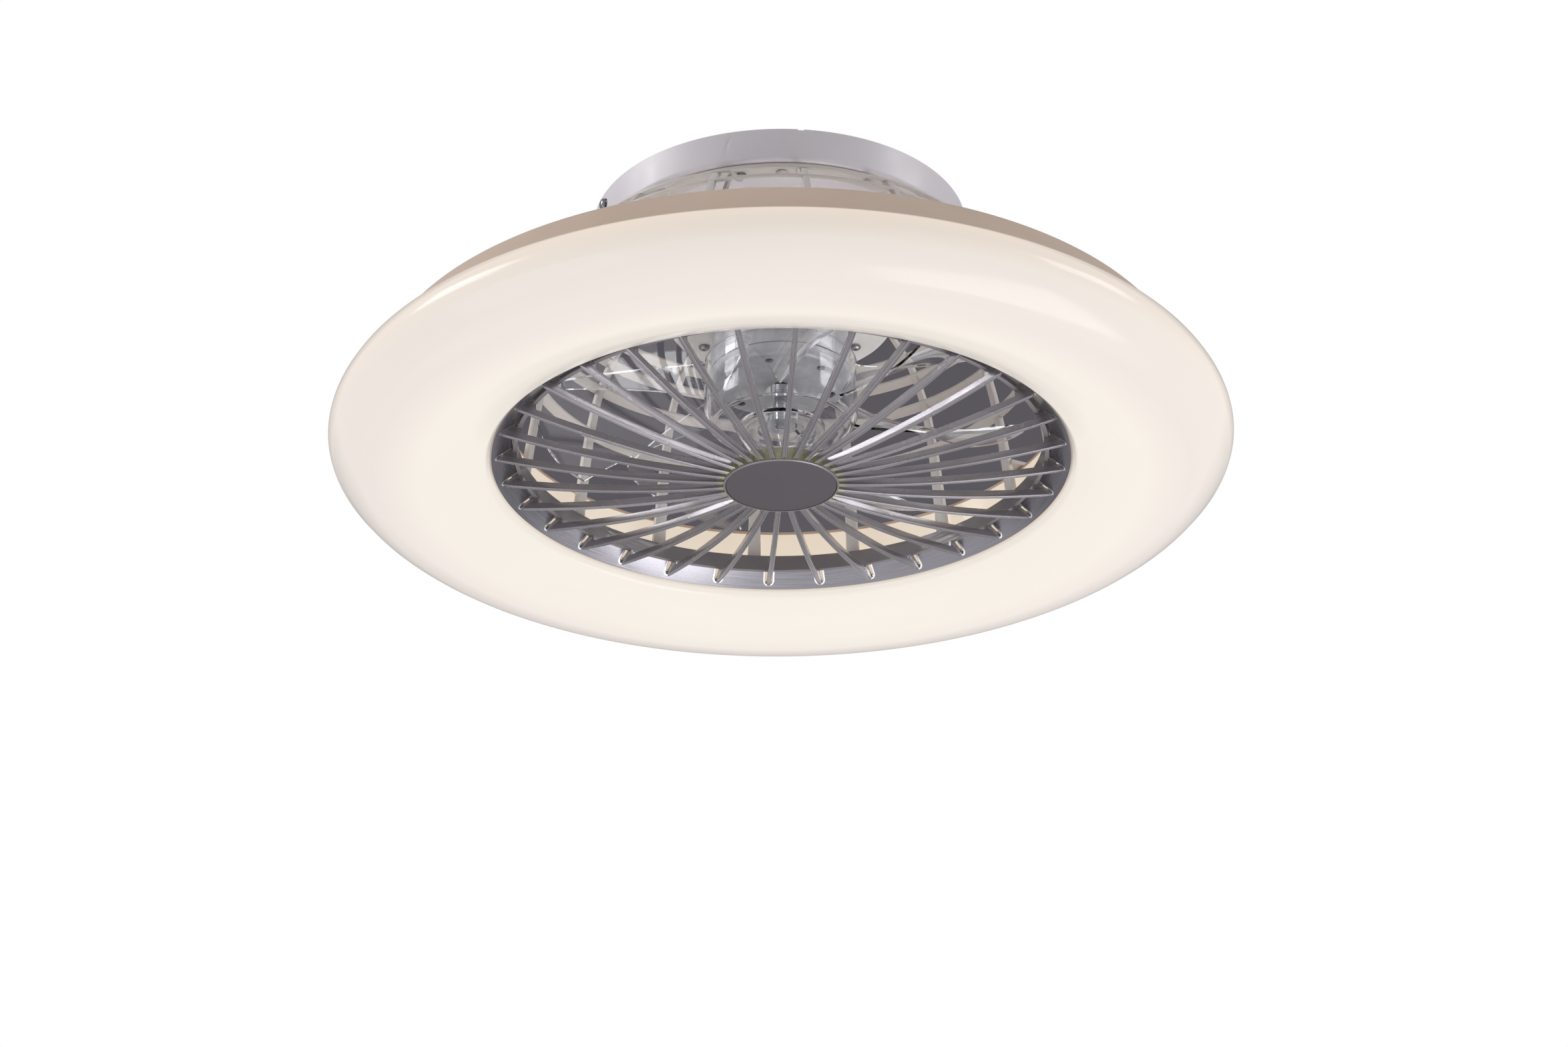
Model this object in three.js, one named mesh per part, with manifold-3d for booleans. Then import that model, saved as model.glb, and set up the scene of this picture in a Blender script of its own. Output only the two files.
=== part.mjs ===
// A flush ceiling fan with an orbital light ring: a clear impeller turns inside a cage,
// and the ring light hangs round it. Millimetres, +Z up. The origin is the centre of the
// face that meets the ceiling, so everything hangs at negative Z.
import * as THREE from "three";
import { mergeVertices } from "three/addons/utils/BufferGeometryUtils.js";
import Module from "manifold-3d";

const wasm = await Module();
wasm.setup();

// ---------------------------------------------------------------- driving dimensions

const CLEARANCE = 0.35; // between fixed neighbours
const RUNNING_CLEARANCE = 0.3; // round the turning shaft
const FINE_SEGMENTS = 48; // facets round the light ring
const MEDIUM_SEGMENTS = 32; // facets round the canopy, the housing and the cage
const MOTOR_SEGMENTS = 24; // facets round the motor and the hub of the impeller
const HOLE_SEGMENTS = 16; // facets of the wide round holes
const POST_SEGMENTS = 12; // facets of posts and other small round bodies
const FLATNESS = 0.01; // how far a merged face may stray

// Levels below the ceiling.
const CANOPY_TOP_Z = -0.8;
const CANOPY_BOTTOM_Z = -23.5;
const HOUSING_BOTTOM_Z = -76;
const PAN_FLOOR_Z = -143;
const GRILLE_TIP_Z = -184;
const LIGHT_BOTTOM_Z = -203;

// Ceiling bracket and canopy.
const BRACKET_RADIUS = 104;
const SHEET = 1.6; // steel sheet of the bracket and the lamp pan
const CABLE_HOLE_RADIUS = 12;
const CABLE_HOLE_X = 42;
const CEILING_SLOT_RADIUS = 75; // how far out the slots for the ceiling screws lie
const CEILING_SLOT_LENGTH = 16;
const CEILING_SLOT_WIDTH = 6;
const CANOPY_RADIUS = 128;
const CANOPY_DRAFT = 2.4; // how much narrower the canopy is at its floor
const CANOPY_WALL = 1.6;
const CANOPY_CORNER = 3;
const SIDE_SCREW_Z = -8.5;
const SIDE_SCREWS = 2;
const SIDE_SCREW_TURN = 201.6; // degrees, the first one
const TAB_WIDTH = 18;
const TAB_ROOT = 8; // how far a bracket tab reaches in over the plate
const TAB_PLAY = 1; // between a bracket tab and the canopy's wall

// Electronics in the canopy.
const DRIVER_SIZE = [86, 36, 17];
const RECEIVER_SIZE = [78, 34, 15];
const EAR_REACH = 5; // the ears at each end of both boxes
const EAR_WIDTH = 10;
const EAR_THICKNESS = 3;
const BOX_OFFSET = 72; // from the axis to the inner side of the driver and of the receiver
const TERMINALS = 3;
const TERMINAL_SIZE = [20, 46, 14];
const TERMINAL_X = -66;
const TERMINAL_WELL_RADIUS = 2.6; // over each clamp screw
const TERMINAL_WELL_DEPTH = 5;
const TERMINAL_WAY = 5; // the square way in for each wire
const TERMINAL_WAY_DEPTH = 3.5;
const TERMINAL_WAY_LIFT = 2.5;

// White housing between the canopy and the motor.
const HOUSING_RADIUS = 77;
const HOUSING_WALL = 2.2;
const HOUSING_CORNER = 4;
const POST_CIRCLE = 60;
const POST_RADIUS = 6;
const POST_TURN = 31;
const CONTROL_BOARD_RADIUS = 46;
const CONTROL_BOARD_LIFT = 12; // above the housing's floor
const STANDOFF_RADIUS = 2.5;
const STANDOFF_CIRCLE = 40;
const CAPACITOR = { radius: 8, height: 19, x: 22, y: 12 };
const SMALL_CAPACITOR = { radius: 6, height: 15, x: -8, y: 26 };
const COIL_CASE = { length: 22, width: 18, height: 14, x: -16, y: -14 };
const WIRE_HOLE_RADIUS = 8; // in the housing's floor
const CANOPY_HOLE_RADIUS = 9; // in the canopy's floor, for the same wires

// Motor.
const MOTOR_RADIUS = 46.5;
const MOTOR_HEIGHT = 47;
const MOTOR_WALL = 1.8;
const MOTOR_CORNER = 5;
const CAN_TOP_EXTRA = 3; // the can's top is thicker than its wall by this, behind its corner
const COVER_CHAMFER = 2; // the same for the corner inside the cover
const SHAFT_MOUTH = 2; // round the shaft in the can and in the cover
const SHAFT_RADIUS = 4;
const BEARING_RADIUS = 11;
const BEARING_HEIGHT = 7;
const STATOR_HEIGHT = 16;
const STATOR_TEETH = 9;
const ROTOR_RADIUS = 22;
const AIR_GAP = 0.6;
const MAGNET_THICKNESS = 3.5;
const MOTOR_BOLTS = 3;
const MOTOR_BOLT_CIRCLE = 30;
const COVER_HOLES = 6;
const COVER_HOLE_TURN = 18;
const COVER_HOLE_CIRCLE = 36;
const COVER_HOLE_RADIUS = 3;

// Clear impeller.
const HUB_PLAY = 2.8; // round the motor
const HUB_WALL = 2.2;
const HUB_RIM_Z = -106;
const HUB_FLOOR_Z = -155;
const HUB_CHAMFER = 6;
const HUB_BOSS_RADIUS = 11;
const HUB_BOSS_GAP = 4; // below the motor's cover
const CAP_RADIUS = 29.5;
const CAP_CHAMFER = 1;
// The underside of the lock cap: how far in from its edge, and how far up from its foot.
const CAP_STEPS = [[CAP_CHAMFER, 0], [6, 0], [7, 1], [14, 1], [15, 2]];
const CAP_HEIGHT = 3;
const BLADES = 7;
const BLADE_TIP_PLAY = 8.5; // inside the grille's collar
const BLADE_THICKNESS = 2;
const BLADE_TURN = 15; // degrees, the middle of the first blade's tip
const BLADE_ROOT_LOW_Z = -148;
const BLADE_ROOT_HIGH_Z = -112;
const BLADE_TIP_LOW_Z = -158;
const BLADE_TIP_HIGH_Z = -128;
const BLADE_ROOT_ARC = 30; // degrees that a blade spans at its root
const BLADE_TIP_ARC = 34;
const BLADE_SWEEP = 12; // degrees that the tip lies behind the root
const BLADE_CORNER_CUT = 14; // how far the corners of the tip are rounded back
const BLADE_CAMBER = 4; // how far the blade bulges up along its middle
const BLADE_EASE = 0.7; // the power by which root sizes change to tip sizes
const BLADE_SPAN_STEPS = 6;
const BLADE_CHORD_STEPS = 4;

// Cage.
const RIBS = 16;
const RIB_TURN = 6.3;
const RIB_DEPTH = 4;
const RIB_TOP_WIDTH = 3;
const RIB_FOOT_WIDTH = 9.7;
const FLANGE_RADIUS = 122; // the ribs' outer edge at the canopy
const FOOT_REACH = 5.5; // the ribs' outer edge at the foot, beyond the grille's collar
const FLANGE_SINK = 1.9; // from the canopy down to the first point of the rib
// The rib's outer edge: the share of the way out to the foot, and the level.
const RIB_SHARES = [
  [0.419, -42],
  [0.565, -54],
  [0.726, -72],
  [0.839, -100],
  [0.919, -130],
];
const BAND_SHARES = [
  [0.419, -42],
  [0.565, -54],
  [0.726, -72],
  [0.839, -105],
]; // the same for the outer edge of each flat band
const BAND_WIDTH = 7;
const BAND_THICKNESS = 1.6;
const BAND_RISE = 3; // how much higher the band's inner edge lies
const CAGE_FLANGE_WIDTH = 12;
const CAGE_FLANGE_THICKNESS = 3;
const FLANGE_SCREWS = 3;
const FLANGE_SCREW_CIRCLE = 116;
const CAGE_LUGS = 4;
const LUG_WIDTH = 12;
const LUG_REACH = 21.5; // beyond the grille's collar
const LUG_THICKNESS = 3;
const LUG_SCREW_OFFSET = 16; // beyond the grille's collar
const LUG_SCREW_SHANK = 2;
const LUG_SCREW_LENGTH = 8;
const FOOT_HEIGHT = 7;
const FOOT_WIDTH = 7;

// Light ring.
const LIGHT_RADIUS = 300;
const LIGHT_WIDEST_Z = -175;
const SEAM_INSET = 10.8; // from the widest circle in to the seam with the pan
const SEAM_Z = -158.9;
const PAN_WALL_RUN = 23.2; // from the seam in to the top of the pan's wall
const PAN_EDGE_Z = -129.8;
const PAN_EDGE_WIDTH = 6;
const PAN_EDGE_DROP = 1.4;
const PAN_SLOPE_RUN = 20; // from the pan's edge in to its flat floor
const LIP_REACH = 14.9; // the diffuser's lip, beyond the grille's collar
const LIP_Z = -185.5;
const LIP_ROUNDING = 4;
const WALL_TOP_REACH = 9.7; // the top of the diffuser's inner wall, beyond the collar
// The diffuser's underside: the share of the way out to the widest circle, and the height
// above the lowest level.
const UNDERSIDE = [
  [0.268, 4.4],
  [0.55, 0],
  [0.812, 4.8],
  [0.944, 15.5],
];
const UPPER_SIDE = [3, 9]; // the point above the widest circle: how far in and how far up
const DIFFUSER_WALL = 2.4;
const BOARDS = 4;
const BOARD_GAP = 2.5; // degrees between two boards
const BOARD_REACH = 25.5; // the boards' inner edge, beyond the grille's collar
const BOARD_WIDTH = 32;
const BOARD_THICKNESS = 1.6;
const LEDS_PER_BOARD = 6;
const LED_SIZE = 5;
const LED_HEIGHT = 1.2;
const GROMMET_NECK = 4;
const GROMMET_FLANGE = 6;
const GROMMET_LIP = 1.5; // how far each flange stands off the pan
const GROMMET_REACH = 18.5; // beyond the grille's collar

// Front grille.
const SPOKES = 32;
const SPOKE_TURN = 2.99;
const SPOKE_WIDTH = 3.6;
const SPOKE_DEPTH = 5;
const SPOKE_STEPS = 3;
const SPOKE_DIP = 14; // how far the hub end lies below the tips
const TIP_REACH = 10; // the spokes' tips, beyond the collar
const FIN_WIDTH = 1.8; // of the fin that joins each spoke's end to the collar
const FIN_HEIGHT = 2; // how far the fin overlaps the collar
const COLLAR_OUTER = 178.5;
const COLLAR_WALL = 3;
const COLLAR_BOTTOM_Z = -177.5;
const COLLAR_TOP_Z = -166;
const GRILLE_HUB_RADIUS = 38.6;
const GRILLE_HUB_Z = -199.3;
const GRILLE_HUB_HEIGHT = 10;
const GRILLE_HUB_WALL = 1.4;
const HUB_DISC_SINK = 0.4; // how far the dark disc lies above the hub's lower edge
const HUB_DISC_THICKNESS = 2.5;
const HUB_DISC_PEG = 8; // radius of the peg behind the disc
const BAYONET_LUGS = 4;
const BAYONET_ARC = 10; // degrees that one lug of the collar spans
const BAYONET_TWIST = 16; // degrees from a lug's seat to the slot it came in by
const GROOVE_DEPTH = 3.2;
const GROOVE_HEIGHT = 3;
const GROOVE_TOP_Z = -168;
const TRIM_SLOPE_TOP_Z = -175.9;
const TRIM_BOTTOM_Z = -184.8;
const TRIM_SKIRT_Z = -179; // top of the skirt that fits inside the diffuser
const TRIM_THICKNESS = 1.5;
const TRIM_SLOT_WIDTH = 5.8;
const TRIM_SLOT_PLAY = 0.7; // beyond the spokes' tips

// ---------------------------------------------------------------- sizes that follow

const HUB_RADIUS = MOTOR_RADIUS + HUB_PLAY + HUB_WALL;
const COLLAR_INNER = COLLAR_OUTER - COLLAR_WALL;
const BLADE_TIP_RADIUS = COLLAR_INNER - BLADE_TIP_PLAY;
const TIP_RADIUS = COLLAR_OUTER + TIP_REACH;
const OPENING_RADIUS = COLLAR_OUTER + LIP_REACH;
const WALL_TOP_RADIUS = COLLAR_OUTER + WALL_TOP_REACH;
const SEAM_RADIUS = LIGHT_RADIUS - SEAM_INSET;
const PAN_EDGE_RADIUS = SEAM_RADIUS - PAN_WALL_RUN;
const PAN_SLOPE_RADIUS = PAN_EDGE_RADIUS - PAN_EDGE_WIDTH;
const PAN_FLOOR_RADIUS = PAN_SLOPE_RADIUS - PAN_SLOPE_RUN;
const BOARD_INNER = COLLAR_OUTER + BOARD_REACH;
const BOARD_OUTER = BOARD_INNER + BOARD_WIDTH;
const GROMMET_CIRCLE = COLLAR_OUTER + GROMMET_REACH;
const LUG_SCREW_CIRCLE = COLLAR_OUTER + LUG_SCREW_OFFSET;
const LUG_END = COLLAR_OUTER + LUG_REACH;
const FOOT_OUTER = COLLAR_OUTER + FOOT_REACH;
const cageRadius = (share) => THREE.MathUtils.lerp(FLANGE_RADIUS, FOOT_OUTER, share);
// The rib's outer edge from the canopy down to the foot, and the bands' outer edges.
const RIB_LINE = [
  [FLANGE_RADIUS, CANOPY_BOTTOM_Z - FLANGE_SINK],
  ...RIB_SHARES.map(([share, level]) => [cageRadius(share), level]),
  [FOOT_OUTER, COLLAR_TOP_Z],
];
const CAGE_BANDS = BAND_SHARES.map(([share, level]) => [cageRadius(share), level]);

// ---------------------------------------------------------------- solids

// A closed three.js geometry as a solid that can be joined and cut.
function solid(geometry) {
  const bare = (geometry.index ? geometry.toNonIndexed() : geometry.clone())
    .deleteAttribute("normal")
    .deleteAttribute("uv");
  const merged = mergeVertices(bare, 1e-3);
  const kept = [];
  const index = merged.index.array;
  for (let i = 0; i < index.length; i += 3) {
    const [a, b, c] = index.slice(i, i + 3);
    if (a !== b && b !== c && a !== c) kept.push(a, b, c);
  }
  return new wasm.Manifold(
    new wasm.Mesh({
      numProp: 3,
      vertProperties: merged.attributes.position.array,
      triVerts: new Uint32Array(kept),
    }),
  );
}

// The geometry of a finished solid, its flat faces freed of the edges left inside them.
function geometryOf(body) {
  const mesh = body.asOriginal().simplify(FLATNESS).getMesh();
  const places = new Float32Array(mesh.numVert * 3);
  for (let i = 0; i < mesh.numVert; i++) {
    places.set(mesh.vertProperties.subarray(i * mesh.numProp, i * mesh.numProp + 3), i * 3);
  }
  const geometry = new THREE.BufferGeometry();
  geometry.setAttribute("position", new THREE.BufferAttribute(places, 3));
  geometry.setIndex(new THREE.BufferAttribute(mesh.triVerts, 1));
  geometry.computeVertexNormals();
  return geometry;
}

const join = (bodies) => bodies.reduce((all, next) => all.add(next));
const cut = (body, tools) => tools.reduce((left, tool) => left.subtract(tool), body);

// Twice the signed area inside an outline of [radius, level] points.
function windingOf(points) {
  return points.reduce((sum, [x, y], i) => {
    const [u, v] = points[(i + 1) % points.length];
    return sum + x * v - u * y;
  }, 0);
}

// A body turned round Z from a closed outline of [radius, level] points.
function turned(points, segments = MEDIUM_SEGMENTS) {
  const outline = windingOf(points) > 0 ? points : [...points].reverse();
  const loop = [...outline, outline[0]].map(([r, z]) => new THREE.Vector2(r, z));
  return solid(new THREE.LatheGeometry(loop, segments).rotateX(Math.PI / 2));
}

// A flat ring or, with no inner radius, a disc.
function disc(outer, low, high, inner = 0, segments = MEDIUM_SEGMENTS) {
  return turned([[inner, low], [outer, low], [outer, high], [inner, high]], segments);
}

const moved = (body, x, y, z = 0) => body.translate([x, y, z]);
const aboutZ = (body, degrees) => body.rotate([0, 0, degrees]);
// Turns a ring so that the middle of one of its flats, not an edge, lies in that direction.
const flatTowards = (body, degrees, segments) => aboutZ(body, degrees + 180 / segments);
const onCircle = (body, radius, degrees) => aboutZ(moved(body, radius, 0), degrees);

// A block centred on x and y, between two levels.
function block(length, width, low, high) {
  return solid(
    new THREE.BoxGeometry(length, width, high - low).translate(0, 0, (low + high) / 2),
  );
}

// An outline of [x, y] points drawn in plan and raised between two levels.
function raised(points, low, high) {
  const shape = new THREE.Shape(points.map(([x, y]) => new THREE.Vector2(x, y)));
  return solid(
    new THREE.ExtrudeGeometry(shape, { depth: high - low, bevelEnabled: false, steps: 1 })
      .translate(0, 0, low),
  );
}

// An outline of [radius, level] points standing on the X axis, as thick as its width.
function upright(points, width) {
  const shape = new THREE.Shape(points.map(([r, z]) => new THREE.Vector2(r, z)));
  return new THREE.ExtrudeGeometry(shape, { depth: width, bevelEnabled: false, steps: 1 })
    .translate(0, 0, -width / 2)
    .rotateX(Math.PI / 2);
}

// Points of an arc from one angle to another, in degrees.
function arc(x, y, radius, from, to, steps) {
  return Array.from({ length: steps + 1 }, (_, i) => {
    const angle = THREE.MathUtils.degToRad(from + ((to - from) * i) / steps);
    return [x + radius * Math.cos(angle), y + radius * Math.sin(angle)];
  });
}

// A sector of a flat ring.
function sector(inner, outer, from, to, low, high, steps) {
  return raised(
    [...arc(0, 0, outer, from, to, steps), ...arc(0, 0, inner, to, from, steps)],
    low,
    high,
  );
}

// How far the flats of a ring of facets stand from its axis.
const flatsOf = (radius, segments) => radius * Math.cos(Math.PI / segments);

const turns = (count, first = 0) =>
  Array.from({ length: count }, (_, i) => first + (i * 360) / count);

const fan = new THREE.Group();

// Adds one finished piece to the fan.
function piece(name, body, finish) {
  const mesh = new THREE.Mesh(geometryOf(body), new THREE.MeshStandardMaterial(finish));
  mesh.name = name;
  fan.add(mesh);
}

const WHITE_PAINT = { color: 0xd8d4d8, roughness: 0.45, metalness: 0 };
const WARM_WHITE = { color: 0xb8a594, roughness: 0.5, metalness: 0 };
const OPAL = { color: 0xf5ede2, roughness: 0.25, metalness: 0 };
const CAGE_PLASTIC = { color: 0xa89f98, roughness: 0.5, metalness: 0 };
const SILVER = { color: 0x9a9799, roughness: 0.35, metalness: 0.8 };
const GRILLE_GREY = { color: 0x87807e, roughness: 0.35, metalness: 0.6 };
const DARK_GREY = { color: 0x5e595f, roughness: 0.4, metalness: 0.3 };
const CLEAR = { color: 0xdfe6ea, roughness: 0.05, metalness: 0, transparent: true, opacity: 0.35 };
const ZINC = { color: 0xb9bcc0, roughness: 0.35, metalness: 0.9 };
const STEEL = { color: 0x8f9296, roughness: 0.4, metalness: 0.9 };
const COPPER = { color: 0xb36a3c, roughness: 0.4, metalness: 0.8 };
const MAGNET = { color: 0x3c3c40, roughness: 0.6, metalness: 0.3 };
const BLACK_PLASTIC = { color: 0x2b2b2d, roughness: 0.6, metalness: 0 };
const BOARD_WHITE = { color: 0xe9e9e4, roughness: 0.5, metalness: 0 };
const BOARD_GREEN = { color: 0x2f6b45, roughness: 0.5, metalness: 0 };
const CABLE_GREY = { color: 0xc9c9c7, roughness: 0.6, metalness: 0 };

// ---------------------------------------------------------------- fasteners

const HEAD_SIDES = 6;
const WIDE_HEAD = 3.8; // radius of a wide head

// A pan-head screw pointing up, its head's seat at level 0.
function screw(shankRadius, shankLength, headRadius = 2 * shankRadius) {
  const headHeight = 1.2 * shankRadius;
  const crown = turned(
    [[0, 0], [headRadius, 0], [0.75 * headRadius, -headHeight], [0, -headHeight]],
    HEAD_SIDES,
  );
  return crown.add(disc(shankRadius, -0.1, shankLength, 0, HEAD_SIDES));
}

// The hole that a screw of this shank passes through.
const screwHole = (shankRadius, low, high) =>
  disc(shankRadius + CLEARANCE, low, high, 0, HEAD_SIDES);

// ---------------------------------------------------------------- ceiling bracket

const SIDE_SCREW_SHANK = 2;
const SIDE_SCREW_END = 6; // how far a side screw stands out behind its tab
const TAB_BOTTOM_Z = SIDE_SCREW_Z - 6;
const canopyRadiusAt = (z) =>
  CANOPY_RADIUS - (CANOPY_DRAFT * (CANOPY_TOP_Z - z)) / (CANOPY_TOP_Z - CANOPY_BOTTOM_Z);
const TAB_OUTER = Math.sqrt(
  (canopyRadiusAt(TAB_BOTTOM_Z) - CANOPY_WALL - TAB_PLAY) ** 2 - (TAB_WIDTH / 2) ** 2,
);

function ceilingBracket() {
  const root = BRACKET_RADIUS - TAB_ROOT;
  const tabs = turns(SIDE_SCREWS, SIDE_SCREW_TURN).flatMap((turn) => [
    onCircle(block(TAB_OUTER - root, TAB_WIDTH, -SHEET, 0), (TAB_OUTER + root) / 2, turn),
    onCircle(block(SHEET, TAB_WIDTH, TAB_BOTTOM_Z, 0), TAB_OUTER - SHEET / 2, turn),
  ]);
  const slots = turns(4, 45).map((turn) =>
    onCircle(block(CEILING_SLOT_WIDTH, CEILING_SLOT_LENGTH, -2 * SHEET, SHEET),
      CEILING_SLOT_RADIUS, turn));
  const cableHole = moved(
    disc(CABLE_HOLE_RADIUS, -2 * SHEET, SHEET, 0, HOLE_SEGMENTS), CABLE_HOLE_X, 0);
  return cut(join([disc(BRACKET_RADIUS, -SHEET, 0), ...tabs]), [
    ...slots,
    cableHole,
    ...sideScrews(true),
  ]);
}

// The screws that hold the canopy to the bracket's tabs, or the holes for them.
function sideScrews(asHoles = false) {
  const length = CANOPY_WALL + SHEET + SIDE_SCREW_END;
  return turns(SIDE_SCREWS, SIDE_SCREW_TURN).map((turn) => {
    const upward = asHoles
      ? screwHole(SIDE_SCREW_SHANK, -2, length + 2)
      : screw(SIDE_SCREW_SHANK, length);
    const seat = canopyRadiusAt(SIDE_SCREW_Z + 2 * SIDE_SCREW_SHANK) + CLEARANCE;
    return aboutZ(moved(upward.rotate([0, -90, 0]), seat, 0, SIDE_SCREW_Z), turn);
  });
}

piece("ceiling_bracket", ceilingBracket(), ZINC);

// ---------------------------------------------------------------- canopy

const CANOPY_FLOOR_RADIUS = CANOPY_RADIUS - CANOPY_DRAFT;
const LEAD_RADIUS = 2;
const LEAD_START = 6; // the lead starts this high above the canopy's underside
// The lead's bend over the pan: how far in from the grommet, and how high above the pan.
const LEAD_END = [[21, 20], [13, 11], [3, 9], [0, 4], [0, -3]];
const LEAD_STEPS = 22;
const LEAD_PLAY = 1.5; // round the lead in the canopy's and the cage's holes
const LEAD_TURN = RIB_TURN + (11 * 360) / RIBS; // the rib that the light's lead follows
const LEAD_OFFSET = RIB_FOOT_WIDTH / 2 + LEAD_RADIUS + 2 * CLEARANCE; // it runs beside that rib
const LEAD_HOLE_CIRCLE = FLANGE_RADIUS - RIB_DEPTH - LEAD_RADIUS - 2 * CLEARANCE;
const alongLead = (body, radius) => aboutZ(moved(body, radius, LEAD_OFFSET), LEAD_TURN);
const FLANGE_SCREW_SHANK = 2;
const FLANGE_SCREW_LENGTH = 9;
const HOUSING_BOLT_SHANK = 2;

function canopyShell() {
  const outer = [
    [0, CANOPY_BOTTOM_Z],
    ...arc(CANOPY_FLOOR_RADIUS - CANOPY_CORNER, CANOPY_BOTTOM_Z + CANOPY_CORNER,
      CANOPY_CORNER, -90, 0, 2),
    [CANOPY_RADIUS, CANOPY_TOP_Z],
  ];
  const inner = [
    [CANOPY_RADIUS - CANOPY_WALL, CANOPY_TOP_Z],
    ...arc(CANOPY_FLOOR_RADIUS - CANOPY_CORNER, CANOPY_BOTTOM_Z + CANOPY_CORNER,
      CANOPY_CORNER - CANOPY_WALL, 0, -90, 1),
    [0, CANOPY_BOTTOM_Z + CANOPY_WALL],
  ];
  const through = [CANOPY_BOTTOM_Z - 2, CANOPY_BOTTOM_Z + CANOPY_WALL + 2];
  return cut(turned([...outer, ...inner]), [
    ...sideScrews(true),
    ...turns(FLANGE_SCREWS, POST_TURN).map((turn) =>
      onCircle(screwHole(FLANGE_SCREW_SHANK, ...through), FLANGE_SCREW_CIRCLE, turn)),
    ...turns(3, POST_TURN).map((turn) =>
      onCircle(screwHole(HOUSING_BOLT_SHANK, ...through), POST_CIRCLE, turn)),
    alongLead(disc(LEAD_RADIUS + LEAD_PLAY, ...through, 0, HEAD_SIDES), LEAD_HOLE_CIRCLE),
    disc(CANOPY_HOLE_RADIUS, ...through, 0, HOLE_SEGMENTS),
  ]);
}

piece("canopy_shell", canopyShell(), WHITE_PAINT);
sideScrews().forEach((body, i) => piece(`canopy_screw_${i + 1}`, body, STEEL));

// A plate that stiffens the canopy's floor and takes the housing's bolts.
const PLATE_RADIUS = 70;
const PLATE_HOLE_RADIUS = 14;
const PLATE_THICKNESS = 2.5;
const FLOOR_SEAT_Z = CANOPY_BOTTOM_Z + CANOPY_WALL + CLEARANCE;
const PLATE_TOP_Z = FLOOR_SEAT_Z + PLATE_THICKNESS;

function mountPlate() {
  const through = [FLOOR_SEAT_Z - 1, PLATE_TOP_Z + 1];
  const holes = turns(3, POST_TURN).map((turn) =>
    onCircle(screwHole(HOUSING_BOLT_SHANK, ...through), POST_CIRCLE, turn));
  return cut(
    disc(PLATE_RADIUS, FLOOR_SEAT_Z, PLATE_TOP_Z, PLATE_HOLE_RADIUS, MOTOR_SEGMENTS), holes);
}

piece("mount_plate", mountPlate(), ZINC);

// ---------------------------------------------------------------- electronics

// A closed box on the canopy's floor, an ear for its screw at each end.
function eared([length, width, height], side) {
  const box = block(length, width, FLOOR_SEAT_Z, FLOOR_SEAT_Z + height);
  const ears = block(length + 2 * EAR_REACH, EAR_WIDTH, FLOOR_SEAT_Z,
    FLOOR_SEAT_Z + EAR_THICKNESS);
  return moved(box.add(ears), 0, side * (BOX_OFFSET + width / 2));
}

// Screw terminals in a row, with a way in for the wires on each side.
function terminalBlock() {
  const [length, width, height] = TERMINAL_SIZE;
  const low = PLATE_TOP_Z + CLEARANCE;
  const high = low + height;
  const rows = Array.from({ length: TERMINALS }, (_, i) =>
    (i - (TERMINALS - 1) / 2) * (width / TERMINALS));
  const wells = rows.map((y) =>
    moved(disc(TERMINAL_WELL_RADIUS, high - TERMINAL_WELL_DEPTH, high + 1, 0, HEAD_SIDES), 0, y));
  const wayLow = low + TERMINAL_WAY_LIFT;
  const ways = rows.flatMap((y) => [-1, 1].map((side) =>
    moved(block(2 * TERMINAL_WAY_DEPTH, TERMINAL_WAY, wayLow, wayLow + TERMINAL_WAY),
      (side * length) / 2, y)));
  return moved(cut(block(length, width, low, high), [...wells, ...ways]), TERMINAL_X, 0);
}

piece("led_driver", eared(DRIVER_SIZE, 1), BOARD_WHITE);
piece("receiver_box", eared(RECEIVER_SIZE, -1), BLACK_PLASTIC);
piece("terminal_block", terminalBlock(), BOARD_WHITE);

// ---------------------------------------------------------------- motor housing

const HOUSING_TOP_Z = CANOPY_BOTTOM_Z - CLEARANCE;
const HOUSING_FLOOR_Z = HOUSING_BOTTOM_Z + HOUSING_WALL;
const MOTOR_TOP_Z = HOUSING_BOTTOM_Z - CLEARANCE;
const MOTOR_BOLT_SHANK = 2;

function motorHousing() {
  const shell = turned([
    [0, HOUSING_BOTTOM_Z],
    ...arc(HOUSING_RADIUS - HOUSING_CORNER, HOUSING_BOTTOM_Z + HOUSING_CORNER,
      HOUSING_CORNER, -90, 0, 2),
    [HOUSING_RADIUS, HOUSING_TOP_Z],
    [HOUSING_RADIUS - HOUSING_WALL, HOUSING_TOP_Z],
    [HOUSING_RADIUS - HOUSING_WALL, HOUSING_FLOOR_Z],
    [0, HOUSING_FLOOR_Z],
  ]);
  const posts = turns(3, POST_TURN).map((turn) =>
    onCircle(disc(POST_RADIUS, HOUSING_FLOOR_Z - 1, HOUSING_TOP_Z, 0, POST_SEGMENTS),
      POST_CIRCLE, turn));
  const boltHoles = turns(3, POST_TURN).map((turn) =>
    onCircle(screwHole(HOUSING_BOLT_SHANK, HOUSING_BOTTOM_Z - 1, 0), POST_CIRCLE, turn));
  const motorHoles = turns(MOTOR_BOLTS).map((turn) =>
    onCircle(screwHole(MOTOR_BOLT_SHANK, HOUSING_BOTTOM_Z - 1, HOUSING_FLOOR_Z + 1),
      MOTOR_BOLT_CIRCLE, turn));
  const wireHole = disc(WIRE_HOLE_RADIUS, HOUSING_BOTTOM_Z - 1, HOUSING_FLOOR_Z + 1, 0,
    HOLE_SEGMENTS);
  return cut(join([shell, ...posts]), [...boltHoles, ...motorHoles, wireHole]);
}

piece("motor_housing", motorHousing(), WHITE_PAINT);

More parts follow.
